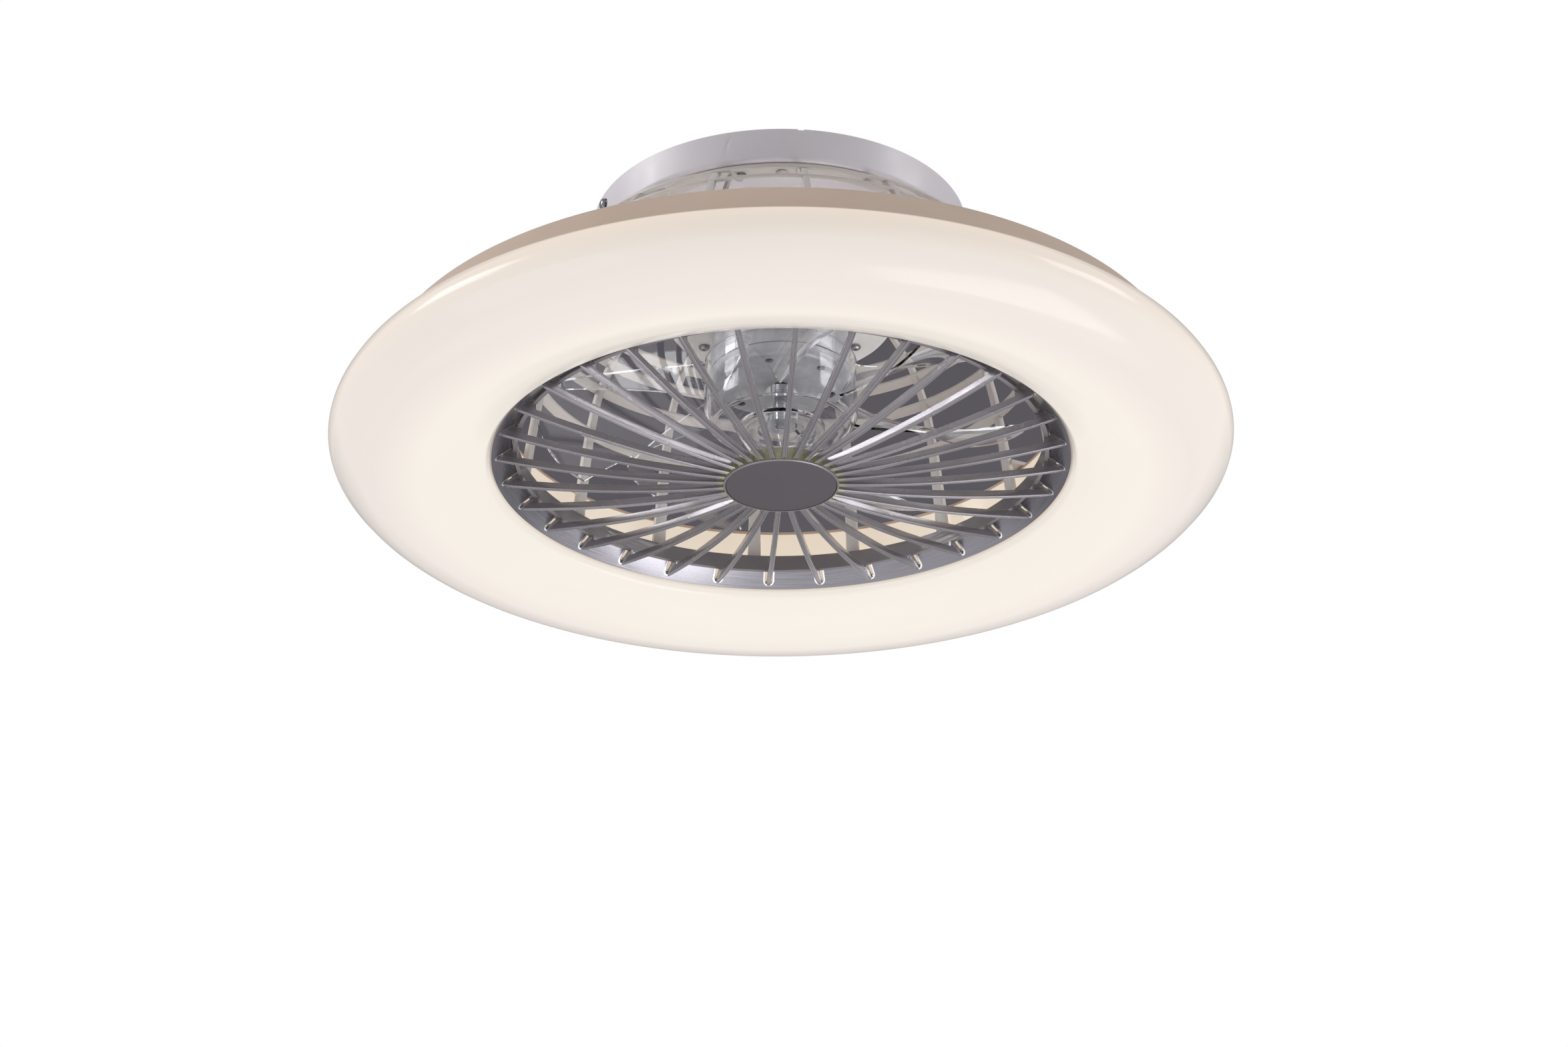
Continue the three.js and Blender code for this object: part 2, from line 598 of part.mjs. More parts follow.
// Long bolts from the housing's floor up into the plate in the canopy.
turns(3, POST_TURN).forEach((turn, i) => {
  const length = PLATE_TOP_Z + 1 - MOTOR_TOP_Z;
  const bolt = moved(screw(HOUSING_BOLT_SHANK, length, WIDE_HEAD), 0, 0, MOTOR_TOP_Z);
  piece(`housing_bolt_${i + 1}`, onCircle(bolt, POST_CIRCLE, turn), STEEL);
});

// Motor controller on four short standoffs, its capacitors and coil on top.
function controlBoard() {
  const low = HOUSING_FLOOR_Z + CONTROL_BOARD_LIFT;
  const legs = turns(4, 45).map((turn) =>
    onCircle(disc(STANDOFF_RADIUS, HOUSING_FLOOR_Z + CLEARANCE, low + 0.5, 0, HEAD_SIDES),
      STANDOFF_CIRCLE, turn));
  const foot = low + 1;
  const upright = ({ radius, height, x, y }) =>
    moved(disc(radius, foot, foot + height, 0, POST_SEGMENTS), x, y);
  const { length, width, height, x, y } = COIL_CASE;
  return join([
    disc(CONTROL_BOARD_RADIUS, low, low + BOARD_THICKNESS, 0, MOTOR_SEGMENTS),
    upright(CAPACITOR),
    upright(SMALL_CAPACITOR),
    moved(block(length, width, foot, foot + height), x, y),
    ...legs,
  ]);
}

piece("control_board", controlBoard(), BOARD_GREEN);

// ---------------------------------------------------------------- motor

const MOTOR_BOTTOM_Z = MOTOR_TOP_Z - MOTOR_HEIGHT;
const MOTOR_SPLIT_Z = MOTOR_BOTTOM_Z + MOTOR_CORNER + 4; // where the two halves of the can meet
const MOTOR_MIDDLE_Z = (MOTOR_TOP_Z + MOTOR_BOTTOM_Z) / 2;
const MOUTH_RADIUS = SHAFT_RADIUS + SHAFT_MOUTH;
const BEARING_BORE = SHAFT_RADIUS + RUNNING_CLEARANCE;
const SEAT_INNER = BEARING_RADIUS + CLEARANCE; // the pocket that holds a bearing
const SEAT_OUTER = SEAT_INNER + MOTOR_WALL;
const BOLT_ENGAGEMENT = 2; // how far a motor bolt stands out inside the can

// The deep upper half, screwed to the housing, with the upper bearing's pocket inside.
function motorCan() {
  const shell = turned([
    [MOUTH_RADIUS, MOTOR_TOP_Z],
    [MOTOR_RADIUS - MOTOR_CORNER, MOTOR_TOP_Z],
    ...arc(MOTOR_RADIUS - MOTOR_CORNER, MOTOR_TOP_Z - MOTOR_CORNER, MOTOR_CORNER, 90, 0, 2),
    [MOTOR_RADIUS, MOTOR_SPLIT_Z],
    [MOTOR_RADIUS - MOTOR_WALL, MOTOR_SPLIT_Z],
    [MOTOR_RADIUS - MOTOR_WALL, MOTOR_TOP_Z - MOTOR_WALL - CAN_TOP_EXTRA],
    [SEAT_OUTER, MOTOR_TOP_Z - MOTOR_WALL - CAN_TOP_EXTRA],
    [SEAT_OUTER, MOTOR_TOP_Z - MOTOR_WALL - BEARING_HEIGHT],
    [SEAT_INNER, MOTOR_TOP_Z - MOTOR_WALL - BEARING_HEIGHT],
    [SEAT_INNER, MOTOR_TOP_Z - MOTOR_WALL],
    [MOUTH_RADIUS, MOTOR_TOP_Z - MOTOR_WALL],
  ], MOTOR_SEGMENTS);
  const holes = turns(MOTOR_BOLTS).map((turn) =>
    onCircle(screwHole(MOTOR_BOLT_SHANK, MOTOR_TOP_Z - MOTOR_WALL - CAN_TOP_EXTRA - 1,
      MOTOR_TOP_Z + 1), MOTOR_BOLT_CIRCLE, turn));
  return cut(shell, holes);
}

// The shallow lower half with its bearing pocket and air holes.
function motorCover() {
  const rim = MOTOR_SPLIT_Z - CLEARANCE;
  const shell = turned([
    [MOUTH_RADIUS, MOTOR_BOTTOM_Z],
    ...arc(MOTOR_RADIUS - MOTOR_CORNER, MOTOR_BOTTOM_Z + MOTOR_CORNER, MOTOR_CORNER, -90, 0, 2),
    [MOTOR_RADIUS, rim],
    [MOTOR_RADIUS - MOTOR_WALL, rim],
    [MOTOR_RADIUS - MOTOR_WALL, MOTOR_BOTTOM_Z + MOTOR_WALL + COVER_CHAMFER],
    [MOTOR_RADIUS - MOTOR_WALL - COVER_CHAMFER, MOTOR_BOTTOM_Z + MOTOR_WALL],
    [SEAT_OUTER, MOTOR_BOTTOM_Z + MOTOR_WALL],
    [SEAT_OUTER, MOTOR_BOTTOM_Z + MOTOR_WALL + BEARING_HEIGHT],
    [SEAT_INNER, MOTOR_BOTTOM_Z + MOTOR_WALL + BEARING_HEIGHT],
    [SEAT_INNER, MOTOR_BOTTOM_Z + MOTOR_WALL],
    [MOUTH_RADIUS, MOTOR_BOTTOM_Z + MOTOR_WALL],
  ], MOTOR_SEGMENTS);
  const holes = turns(COVER_HOLES, COVER_HOLE_TURN).map((turn) =>
    onCircle(disc(COVER_HOLE_RADIUS, MOTOR_BOTTOM_Z - 1,
      MOTOR_BOTTOM_Z + MOTOR_WALL + COVER_CHAMFER, 0, POST_SEGMENTS), COVER_HOLE_CIRCLE, turn));
  return cut(shell, holes);
}

piece("motor_can", motorCan(), ZINC);
piece("motor_cover", motorCover(), ZINC);

turns(MOTOR_BOLTS).forEach((turn, i) => {
  const seat = HOUSING_FLOOR_Z + CLEARANCE;
  const length = seat - MOTOR_TOP_Z + MOTOR_WALL + BOLT_ENGAGEMENT;
  const bolt = moved(screw(MOTOR_BOLT_SHANK, length).rotate([180, 0, 0]), 0, 0, seat);
  piece(`motor_bolt_${i + 1}`, onCircle(bolt, MOTOR_BOLT_CIRCLE, turn), STEEL);
});

const bearing = (low) =>
  disc(BEARING_RADIUS, low, low + BEARING_HEIGHT - CLEARANCE, BEARING_BORE, MOTOR_SEGMENTS);
piece("upper_bearing", bearing(MOTOR_TOP_Z - MOTOR_WALL - BEARING_HEIGHT), STEEL);
piece("lower_bearing", bearing(MOTOR_BOTTOM_Z + MOTOR_WALL + CLEARANCE), STEEL);

// Laminated stator: a yoke with inward teeth that end in wide shoes.
const STATOR_RADIUS = MOTOR_RADIUS - MOTOR_WALL - CLEARANCE;
const STATOR_BORE = ROTOR_RADIUS + AIR_GAP;
const YOKE_WIDTH = 5;
const TOOTH_WIDTH = 5;
const SHOE_WIDTH = 9;
const SHOE_DEPTH = 2;
const stackLow = (height) => MOTOR_MIDDLE_Z - height / 2;

function statorCore() {
  const low = stackLow(STATOR_HEIGHT);
  const high = low + STATOR_HEIGHT;
  const teeth = turns(STATOR_TEETH).flatMap((turn) => [
    onCircle(block(STATOR_RADIUS - YOKE_WIDTH / 2 - STATOR_BORE - 1, TOOTH_WIDTH, low, high),
      (STATOR_RADIUS - YOKE_WIDTH / 2 + STATOR_BORE + 1) / 2, turn),
    onCircle(block(SHOE_DEPTH + 1, SHOE_WIDTH, low, high), STATOR_BORE + 1 + SHOE_DEPTH / 2, turn),
  ]);
  const yoke = disc(STATOR_RADIUS, low, high, STATOR_RADIUS - YOKE_WIDTH, MOTOR_SEGMENTS);
  return join([yoke, ...teeth]).subtract(disc(STATOR_BORE, low - 1, high + 1, 0, MOTOR_SEGMENTS));
}

// One coil round each tooth, joined by the ring of end turns above the core.
const COIL_THICKNESS = 2.2;
const COIL_OVERHANG = 3.5;
const END_RING_HEIGHT = 3;

function statorWindings() {
  const low = stackLow(STATOR_HEIGHT);
  const high = low + STATOR_HEIGHT;
  const inner = STATOR_BORE + SHOE_DEPTH + 2.5;
  const outer = flatsOf(STATOR_RADIUS - YOKE_WIDTH, MOTOR_SEGMENTS) - COIL_THICKNESS;
  const middle = (inner + outer) / 2;
  const gap = TOOTH_WIDTH + 2 * CLEARANCE;
  const coils = turns(STATOR_TEETH).map((turn) => {
    const around = block(outer - inner, gap + 2 * COIL_THICKNESS, low - COIL_OVERHANG,
      high + COIL_OVERHANG);
    const core = block(outer - inner + 2, gap, low - CLEARANCE, high + CLEARANCE);
    return onCircle(around.subtract(core), middle, turn);
  });
  const ring = disc(outer, high + COIL_OVERHANG - 0.5, high + COIL_OVERHANG + END_RING_HEIGHT,
    outer - 5, MOTOR_SEGMENTS);
  return join([ring, ...coils]);
}

piece("stator_core", statorCore(), STEEL);
piece("stator_windings", statorWindings(), COPPER);

// ---------------------------------------------------------------- turning parts

const SHAFT_TOP_Z = MOTOR_TOP_Z - MOTOR_WALL - CLEARANCE;
const SHAFT_BOTTOM_Z = HUB_FLOOR_Z + 1;
const ROTOR_CORE_RADIUS = ROTOR_RADIUS - MAGNET_THICKNESS - CLEARANCE;

piece("motor_shaft", disc(SHAFT_RADIUS, SHAFT_BOTTOM_Z, SHAFT_TOP_Z, 0, MOTOR_SEGMENTS), STEEL);
piece("rotor_core", disc(ROTOR_CORE_RADIUS, stackLow(STATOR_HEIGHT),
  stackLow(STATOR_HEIGHT) + STATOR_HEIGHT, SHAFT_RADIUS + CLEARANCE, MOTOR_SEGMENTS), STEEL);
piece("rotor_magnet", disc(ROTOR_RADIUS, stackLow(STATOR_HEIGHT),
  stackLow(STATOR_HEIGHT) + STATOR_HEIGHT, ROTOR_CORE_RADIUS + CLEARANCE, MOTOR_SEGMENTS), MAGNET);

// A clear blade: a flat box bent so that it climbs round the axis, steep at its root.
function blade() {
  const box = new THREE.BoxGeometry(1, 1, 1, BLADE_SPAN_STEPS, BLADE_CHORD_STEPS, 1)
    .translate(0.5, 0, 0);
  const place = box.attributes.position;
  const rootRadius = HUB_RADIUS - HUB_WALL / 2;
  const lerp = THREE.MathUtils.lerp;
  for (let i = 0; i < place.count; i++) {
    const along = place.getX(i);
    const across = place.getY(i);
    const side = place.getZ(i);
    const cornerCut = BLADE_CORNER_CUT * Math.pow(Math.abs(2 * across), 3);
    const radius = lerp(rootRadius, BLADE_TIP_RADIUS - cornerCut, along);
    const ease = Math.pow(along, BLADE_EASE);
    const arcSpan = THREE.MathUtils.degToRad(lerp(BLADE_ROOT_ARC, BLADE_TIP_ARC, ease));
    const low = lerp(BLADE_ROOT_LOW_Z, BLADE_TIP_LOW_Z, ease);
    const high = lerp(BLADE_ROOT_HIGH_Z, BLADE_TIP_HIGH_Z, ease);
    const camber = BLADE_CAMBER * along * (1 - Math.pow(2 * across, 2));
    const pitch = Math.atan2(high - low, arcSpan * radius);
    const angle = across * arcSpan - THREE.MathUtils.degToRad(BLADE_SWEEP) * along;
    const thickness = BLADE_THICKNESS * side;
    const turn = angle - (thickness * Math.sin(pitch)) / radius;
    const level = lerp(low, high, across + 0.5) + camber + thickness * Math.cos(pitch);
    place.setXYZ(i, radius * Math.cos(turn), radius * Math.sin(turn), level);
  }
  return solid(box);
}

function impeller() {
  const floorTop = HUB_FLOOR_Z + HUB_WALL;
  const cup = turned([
    [SHAFT_RADIUS + CLEARANCE, HUB_FLOOR_Z],
    [HUB_RADIUS - HUB_CHAMFER, HUB_FLOOR_Z],
    [HUB_RADIUS - HUB_CHAMFER / 3, HUB_FLOOR_Z + HUB_CHAMFER / 3],
    [HUB_RADIUS, HUB_FLOOR_Z + HUB_CHAMFER],
    [HUB_RADIUS, HUB_RIM_Z],
    [HUB_RADIUS - HUB_WALL, HUB_RIM_Z],
    [HUB_RADIUS - HUB_WALL, floorTop + HUB_CHAMFER],
    [HUB_RADIUS - HUB_CHAMFER, floorTop],
    [HUB_BOSS_RADIUS, floorTop],
    [HUB_BOSS_RADIUS, MOTOR_BOTTOM_Z - HUB_BOSS_GAP],
    [SHAFT_RADIUS + CLEARANCE, MOTOR_BOTTOM_Z - HUB_BOSS_GAP],
  ], MOTOR_SEGMENTS);
  const inside = disc(HUB_RADIUS - HUB_WALL, floorTop + HUB_CHAMFER, HUB_RIM_Z, 0,
    MOTOR_SEGMENTS);
  const first = BLADE_TURN + BLADE_SWEEP;
  const blades = turns(BLADES, first).map((turn) => aboutZ(blade(), turn).subtract(inside));
  return join([cup, ...blades]);
}

// The clear cap that locks the impeller on the shaft: stepped rings round a finger recess.
function impellerCap() {
  const top = HUB_FLOOR_Z - CLEARANCE;
  const low = top - CAP_HEIGHT;
  return turned([
    [0, top],
    [CAP_RADIUS, top],
    [CAP_RADIUS, low + CAP_CHAMFER],
    ...CAP_STEPS.map(([inset, rise]) => [CAP_RADIUS - inset, low + rise]),
    [0, low + CAP_STEPS.at(-1)[1]],
  ], MOTOR_SEGMENTS);
}

piece("impeller", impeller(), CLEAR);
piece("impeller_cap", impellerCap(), CLEAR);

// ---------------------------------------------------------------- cage

const CAGE_TOP_Z = CANOPY_BOTTOM_Z - CLEARANCE;
const FLANGE_OUTER = FLANGE_RADIUS + 1;
const FLANGE_INNER = FLANGE_OUTER - CAGE_FLANGE_WIDTH;
const FOOT_SEGMENTS = 3 * RIBS;
const FOOT_INNER = (COLLAR_OUTER + CLEARANCE) / flatsOf(1, FOOT_SEGMENTS);
const FOOT_TOP_Z = COLLAR_TOP_Z;
const FOOT_BOTTOM_Z = FOOT_TOP_Z - FOOT_HEIGHT;
const bayonetTurns = turns(BAYONET_LUGS, RIB_TURN + 180 / RIBS);
const LUG_LOW_Z = PAN_FLOOR_Z + SHEET + CLEARANCE;
const ribLevels = [CAGE_TOP_Z, FOOT_BOTTOM_Z];

// A rib that widens from the canopy to its foot.
function rib() {
  const inner = RIB_LINE.map(([r, z], i) => {
    const [r0, z0] = RIB_LINE[Math.max(i - 1, 0)];
    const [r1, z1] = RIB_LINE[Math.min(i + 1, RIB_LINE.length - 1)];
    const length = Math.hypot(r1 - r0, z1 - z0);
    return [r + (RIB_DEPTH * (z1 - z0)) / length, z - (RIB_DEPTH * (r1 - r0)) / length];
  });
  const geometry = upright([...RIB_LINE, ...inner.reverse()], 1);
  const place = geometry.attributes.position;
  for (let i = 0; i < place.count; i++) {
    const share = THREE.MathUtils.inverseLerp(ribLevels[0], ribLevels[1], place.getZ(i));
    place.setY(i, place.getY(i) * THREE.MathUtils.lerp(RIB_TOP_WIDTH, RIB_FOOT_WIDTH, share));
  }
  return solid(geometry);
}

// A flat band round the cage, its inner edge higher than its outer one.
function band([radius, level]) {
  const inner = radius - BAND_WIDTH;
  return turned([
    [radius, level - BAND_THICKNESS / 2],
    [radius, level + BAND_THICKNESS / 2],
    [inner, level + BAND_RISE + BAND_THICKNESS / 2],
    [inner, level + BAND_RISE - BAND_THICKNESS / 2],
  ]);
}

// The degrees of the ribs that carry the lamp ring's lugs.
const lugTurns = turns(CAGE_LUGS, RIB_TURN + 360 / RIBS);

function cage() {
  const flange = disc(FLANGE_OUTER, CAGE_TOP_Z - CAGE_FLANGE_THICKNESS, CAGE_TOP_Z, FLANGE_INNER);
  const foot = disc(FOOT_INNER + FOOT_WIDTH, FOOT_BOTTOM_Z, FOOT_TOP_Z, FOOT_INNER,
    FOOT_SEGMENTS);
  // Each way in for a bayonet lug: a slot open below and the groove that it then turns along.
  const slot = (from, low) => sector(FOOT_INNER - 2, FOOT_INNER + GROOVE_DEPTH, from,
    BAYONET_TWIST + BAYONET_ARC / 2 + 1, low, GROOVE_TOP_Z, 3);
  const grooves = bayonetTurns.flatMap((turn) => [
    aboutZ(slot(-BAYONET_ARC / 2 - 1, GROOVE_TOP_Z - GROOVE_HEIGHT), turn),
    aboutZ(slot(BAYONET_TWIST - BAYONET_ARC / 2 - 1, FOOT_BOTTOM_Z - 1), turn),
  ]);
  const ribs = turns(RIBS, RIB_TURN).map((turn) => aboutZ(rib(), turn));
  const lugInner = RIB_LINE.at(-2)[0];
  const lugs = lugTurns.map((turn) =>
    onCircle(block(LUG_END - lugInner, LUG_WIDTH, LUG_LOW_Z, LUG_LOW_Z + LUG_THICKNESS),
      (LUG_END + lugInner) / 2, turn));
  const lugHoles = lugTurns.map((turn) =>
    onCircle(screwHole(LUG_SCREW_SHANK, LUG_LOW_Z - 1, LUG_LOW_Z + LUG_THICKNESS + 1),
      LUG_SCREW_CIRCLE, turn));
  const flangeHoles = turns(FLANGE_SCREWS, POST_TURN).map((turn) =>
    onCircle(screwHole(FLANGE_SCREW_SHANK, CAGE_TOP_Z - CAGE_FLANGE_THICKNESS - 1,
      CAGE_TOP_Z + 1), FLANGE_SCREW_CIRCLE, turn));
  const leadHole = alongLead(disc(LEAD_RADIUS + LEAD_PLAY, CAGE_TOP_Z - CAGE_FLANGE_THICKNESS - 1,
    CAGE_TOP_Z + 1, 0, HEAD_SIDES), LEAD_HOLE_CIRCLE);
  const bands = [flange, ...CAGE_BANDS.map(band)].map((ring) =>
    flatTowards(ring, RIB_TURN, MEDIUM_SEGMENTS));
  const body = join([flatTowards(foot, RIB_TURN, FOOT_SEGMENTS), ...bands, ...ribs, ...lugs]);
  return cut(body, [...grooves, ...lugHoles, ...flangeHoles, leadHole]);
}

piece("cage", cage(), CAGE_PLASTIC);

turns(FLANGE_SCREWS, POST_TURN).forEach((turn, i) => {
  const seat = CAGE_TOP_Z - CAGE_FLANGE_THICKNESS - CLEARANCE;
  const bolt = moved(screw(FLANGE_SCREW_SHANK, FLANGE_SCREW_LENGTH, WIDE_HEAD), 0, 0, seat);
  piece(`cage_screw_${i + 1}`, onCircle(bolt, FLANGE_SCREW_CIRCLE, turn), STEEL);
});

// ---------------------------------------------------------------- lamp ring

const SEAM_STEP = 0.8; // how far the pan's and the diffuser's edges lie on each side of the seam
const PAN_RIM = SEAM_RADIUS - SEAM_STEP;
const LOCATING_LIP = 4;
const PAN_OVERLAP = 0.6; // how far the pan reaches in over the diffuser's inner wall
const PAN_INNER = WALL_TOP_RADIUS - PAN_OVERLAP;
const LIP_OUTER = PAN_RIM - SHEET - DIFFUSER_WALL; // of the lip that centres the diffuser

function lampPan() {
  const top = PAN_FLOOR_Z + SHEET;
  const shell = turned([
    [PAN_INNER, PAN_FLOOR_Z],
    [PAN_INNER, top],
    [PAN_FLOOR_RADIUS, top],
    [PAN_SLOPE_RADIUS, PAN_EDGE_Z],
    [PAN_EDGE_RADIUS, PAN_EDGE_Z - PAN_EDGE_DROP],
    [PAN_RIM, SEAM_Z + CLEARANCE],
    [LIP_OUTER, SEAM_Z + CLEARANCE],
    [LIP_OUTER, SEAM_Z - LOCATING_LIP],
    [LIP_OUTER - SHEET, SEAM_Z - LOCATING_LIP],
    [LIP_OUTER - SHEET, SEAM_Z + CLEARANCE + SHEET],
    [PAN_EDGE_RADIUS - SHEET, PAN_EDGE_Z - 2 * SHEET],
    [PAN_SLOPE_RADIUS, PAN_EDGE_Z - SHEET],
    [PAN_FLOOR_RADIUS + 1, PAN_FLOOR_Z],
  ], FINE_SEGMENTS);
  const holes = lugTurns.map((turn) =>
    onCircle(screwHole(LUG_SCREW_SHANK, PAN_FLOOR_Z - 1, PAN_FLOOR_Z + SHEET + 1),
      LUG_SCREW_CIRCLE, turn));
  const leadHole = alongLead(disc(GROMMET_NECK + CLEARANCE, PAN_FLOOR_Z - 1,
    PAN_FLOOR_Z + SHEET + 1, 0, POST_SEGMENTS), GROMMET_CIRCLE);
  return cut(shell, [...holes, leadHole]);
}

// The rubber grommet in the pan's floor, its groove round the sheet's edge.
function panGrommet() {
  const top = PAN_FLOOR_Z + SHEET;
  return alongLead(turned([
    [LEAD_RADIUS + CLEARANCE, PAN_FLOOR_Z - GROMMET_LIP],
    [GROMMET_FLANGE, PAN_FLOOR_Z - GROMMET_LIP],
    [GROMMET_FLANGE, PAN_FLOOR_Z - CLEARANCE],
    [GROMMET_NECK, PAN_FLOOR_Z - CLEARANCE],
    [GROMMET_NECK, top + CLEARANCE],
    [GROMMET_FLANGE, top + CLEARANCE],
    [GROMMET_FLANGE, top + GROMMET_LIP],
    [LEAD_RADIUS + CLEARANCE, top + GROMMET_LIP],
  ], POST_SEGMENTS), GROMMET_CIRCLE);
}

piece("lamp_pan", lampPan(), WARM_WHITE);
piece("pan_grommet", panGrommet(), BLACK_PLASTIC);

lugTurns.forEach((turn, i) => {
  const seat = LUG_LOW_Z + LUG_THICKNESS + CLEARANCE;
  const bolt = moved(
    screw(LUG_SCREW_SHANK, LUG_SCREW_LENGTH, WIDE_HEAD).rotate([180, 0, 0]), 0, 0, seat);
  piece(`lamp_screw_${i + 1}`, onCircle(bolt, LUG_SCREW_CIRCLE, turn), STEEL);
});

// The light's lead: out of the canopy, down beside one rib and inside the bands, then out
// over the pan and into the grommet.
function lightLead() {
  const insideBands = CAGE_BANDS.map(([r, z]) =>
    [r - BAND_WIDTH - LEAD_RADIUS - LEAD_PLAY, z + BAND_RISE / 2]);
  const line = [
    ...[LEAD_START, -LEAD_START].map((rise) => [LEAD_HOLE_CIRCLE, CANOPY_BOTTOM_Z + rise]),
    ...insideBands,
    ...LEAD_END.map(([inset, rise]) => [GROMMET_CIRCLE - inset, PAN_FLOOR_Z + rise]),
  ];
  const path = new THREE.CatmullRomCurve3(
    line.map(([r, z]) => new THREE.Vector3(r, 0, z)), false, "centripetal");
  const section = new THREE.Shape(
    arc(0, 0, LEAD_RADIUS, 0, 300, 5).map(([x, y]) => new THREE.Vector2(x, y)));
  return solid(new THREE.ExtrudeGeometry(section, {
    steps: LEAD_STEPS,
    extrudePath: path,
    bevelEnabled: false,
  }));
}

const WALL_TOP_Z = PAN_FLOOR_Z - CLEARANCE;

// Radius of the diffuser's inner wall, which narrows from its lip up to the pan.
const wallRadiusAt = (z) =>
  THREE.MathUtils.mapLinear(z, LIP_Z, WALL_TOP_Z, OPENING_RADIUS, WALL_TOP_RADIUS);

// The diffuser's outside, from its lip under and round to the seam with the pan.
const DIFFUSER_EDGE = SEAM_RADIUS + SEAM_STEP;
const DIFFUSER_LINE = [
  [OPENING_RADIUS, LIP_Z],
  [OPENING_RADIUS + LIP_ROUNDING, LIP_Z - LIP_ROUNDING],
  ...UNDERSIDE.map(([share, height]) =>
    [THREE.MathUtils.lerp(OPENING_RADIUS, LIGHT_RADIUS, share), LIGHT_BOTTOM_Z + height]),
  [LIGHT_RADIUS, LIGHT_WIDEST_Z],
  [LIGHT_RADIUS - UPPER_SIDE[0], LIGHT_WIDEST_Z + UPPER_SIDE[1]],
  [DIFFUSER_EDGE, SEAM_Z],
];

function diffuser() {
  const inner = DIFFUSER_LINE.slice(1, -1).map(([r, z], i) => {
    const [r0, z0] = DIFFUSER_LINE[i];
    const [r1, z1] = DIFFUSER_LINE[i + 2];
    const length = Math.hypot(r1 - r0, z1 - z0);
    return [r - (DIFFUSER_WALL * (z1 - z0)) / length, z + (DIFFUSER_WALL * (r1 - r0)) / length];
  });
  return turned([
    ...DIFFUSER_LINE,
    [DIFFUSER_EDGE - DIFFUSER_WALL, SEAM_Z],
    ...inner.reverse(),
    [WALL_TOP_RADIUS + DIFFUSER_WALL, WALL_TOP_Z],
    [WALL_TOP_RADIUS, WALL_TOP_Z],
  ], FINE_SEGMENTS);
}

piece("light_lead", alongLead(lightLead(), 0), CABLE_GREY);
piece("diffuser", diffuser(), OPAL);

// A quarter of the light: a printed board with one row of chips facing down.
function ledBoard() {
  const high = PAN_FLOOR_Z - CLEARANCE;
  const low = high - BOARD_THICKNESS;
  const sweep = 360 / BOARDS - BOARD_GAP;
  const board = sector(BOARD_INNER, BOARD_OUTER, 0, sweep, low, high, 10);
  const middle = (BOARD_INNER + BOARD_OUTER) / 2;
  const chips = Array.from({ length: LEDS_PER_BOARD }, (_, i) =>
    onCircle(block(LED_SIZE, LED_SIZE, low - LED_HEIGHT, low + 0.5), middle,
      (sweep * (i + 0.5)) / LEDS_PER_BOARD));
  return join([board, ...chips]);
}

turns(BOARDS, RIB_TURN).forEach((turn, i) => {
  piece(`led_board_${i + 1}`, aboutZ(ledBoard(), turn), BOARD_WHITE);
});

// ---------------------------------------------------------------- front grille

// Level of a spoke's lower edge, lowest at the hub and rising in a curve to the rim.
function spokeLevel(radius) {
  const share = (radius - GRILLE_HUB_RADIUS) / (TIP_RADIUS - GRILLE_HUB_RADIUS);
  return GRILLE_TIP_Z - SPOKE_DIP * (1 - share * share);
}

// A spoke, and the fin that stands on its end and joins it to the collar.
function spoke() {
  const rise = (r) => [r, spokeLevel(r) + SPOKE_DEPTH];
  const hubEnd = GRILLE_HUB_RADIUS - GRILLE_HUB_WALL / 2;
  const radii = Array.from({ length: SPOKE_STEPS + 1 }, (_, i) =>
    THREE.MathUtils.lerp(hubEnd, TIP_RADIUS, i / SPOKE_STEPS));
  const bar = upright(
    [...radii.map((r) => [r, spokeLevel(r)]), ...radii.map(rise).reverse()], SPOKE_WIDTH);
  const fin = upright([
    [COLLAR_INNER, spokeLevel(COLLAR_INNER) + 1],
    [TIP_RADIUS - 1, spokeLevel(TIP_RADIUS) + 1],
    rise(TIP_RADIUS - 1),
    [COLLAR_OUTER, COLLAR_BOTTOM_Z + FIN_HEIGHT],
    [COLLAR_INNER, COLLAR_BOTTOM_Z + FIN_HEIGHT],
  ], FIN_WIDTH);
  return solid(bar).add(solid(fin));
}

function grille() {
  const collar = flatTowards(
    disc(COLLAR_OUTER, COLLAR_BOTTOM_Z, COLLAR_TOP_Z, COLLAR_INNER, SPOKES), SPOKE_TURN, SPOKES);
  const hubTop = GRILLE_HUB_Z + GRILLE_HUB_HEIGHT;
  const hub = turned([
    [GRILLE_HUB_RADIUS - GRILLE_HUB_WALL, GRILLE_HUB_Z],
    [GRILLE_HUB_RADIUS, GRILLE_HUB_Z],
    [GRILLE_HUB_RADIUS, hubTop],
    [0, hubTop],
    [0, hubTop - GRILLE_HUB_WALL],
    [GRILLE_HUB_RADIUS - GRILLE_HUB_WALL, hubTop - GRILLE_HUB_WALL],
  ], SPOKES);
  const spokes = turns(SPOKES, SPOKE_TURN).map((turn) => aboutZ(spoke(), turn));
  const lugs = bayonetTurns.map((turn) =>
    aboutZ(sector(COLLAR_INNER + 1, COLLAR_OUTER + GROOVE_DEPTH - CLEARANCE, -BAYONET_ARC / 2,
      BAYONET_ARC / 2, GROOVE_TOP_Z - GROOVE_HEIGHT + CLEARANCE, GROOVE_TOP_Z - CLEARANCE, 2),
      turn));
  return join([collar, flatTowards(hub, SPOKE_TURN, SPOKES), ...spokes, ...lugs]);
}

piece("grille", grille(), GRILLE_GREY);

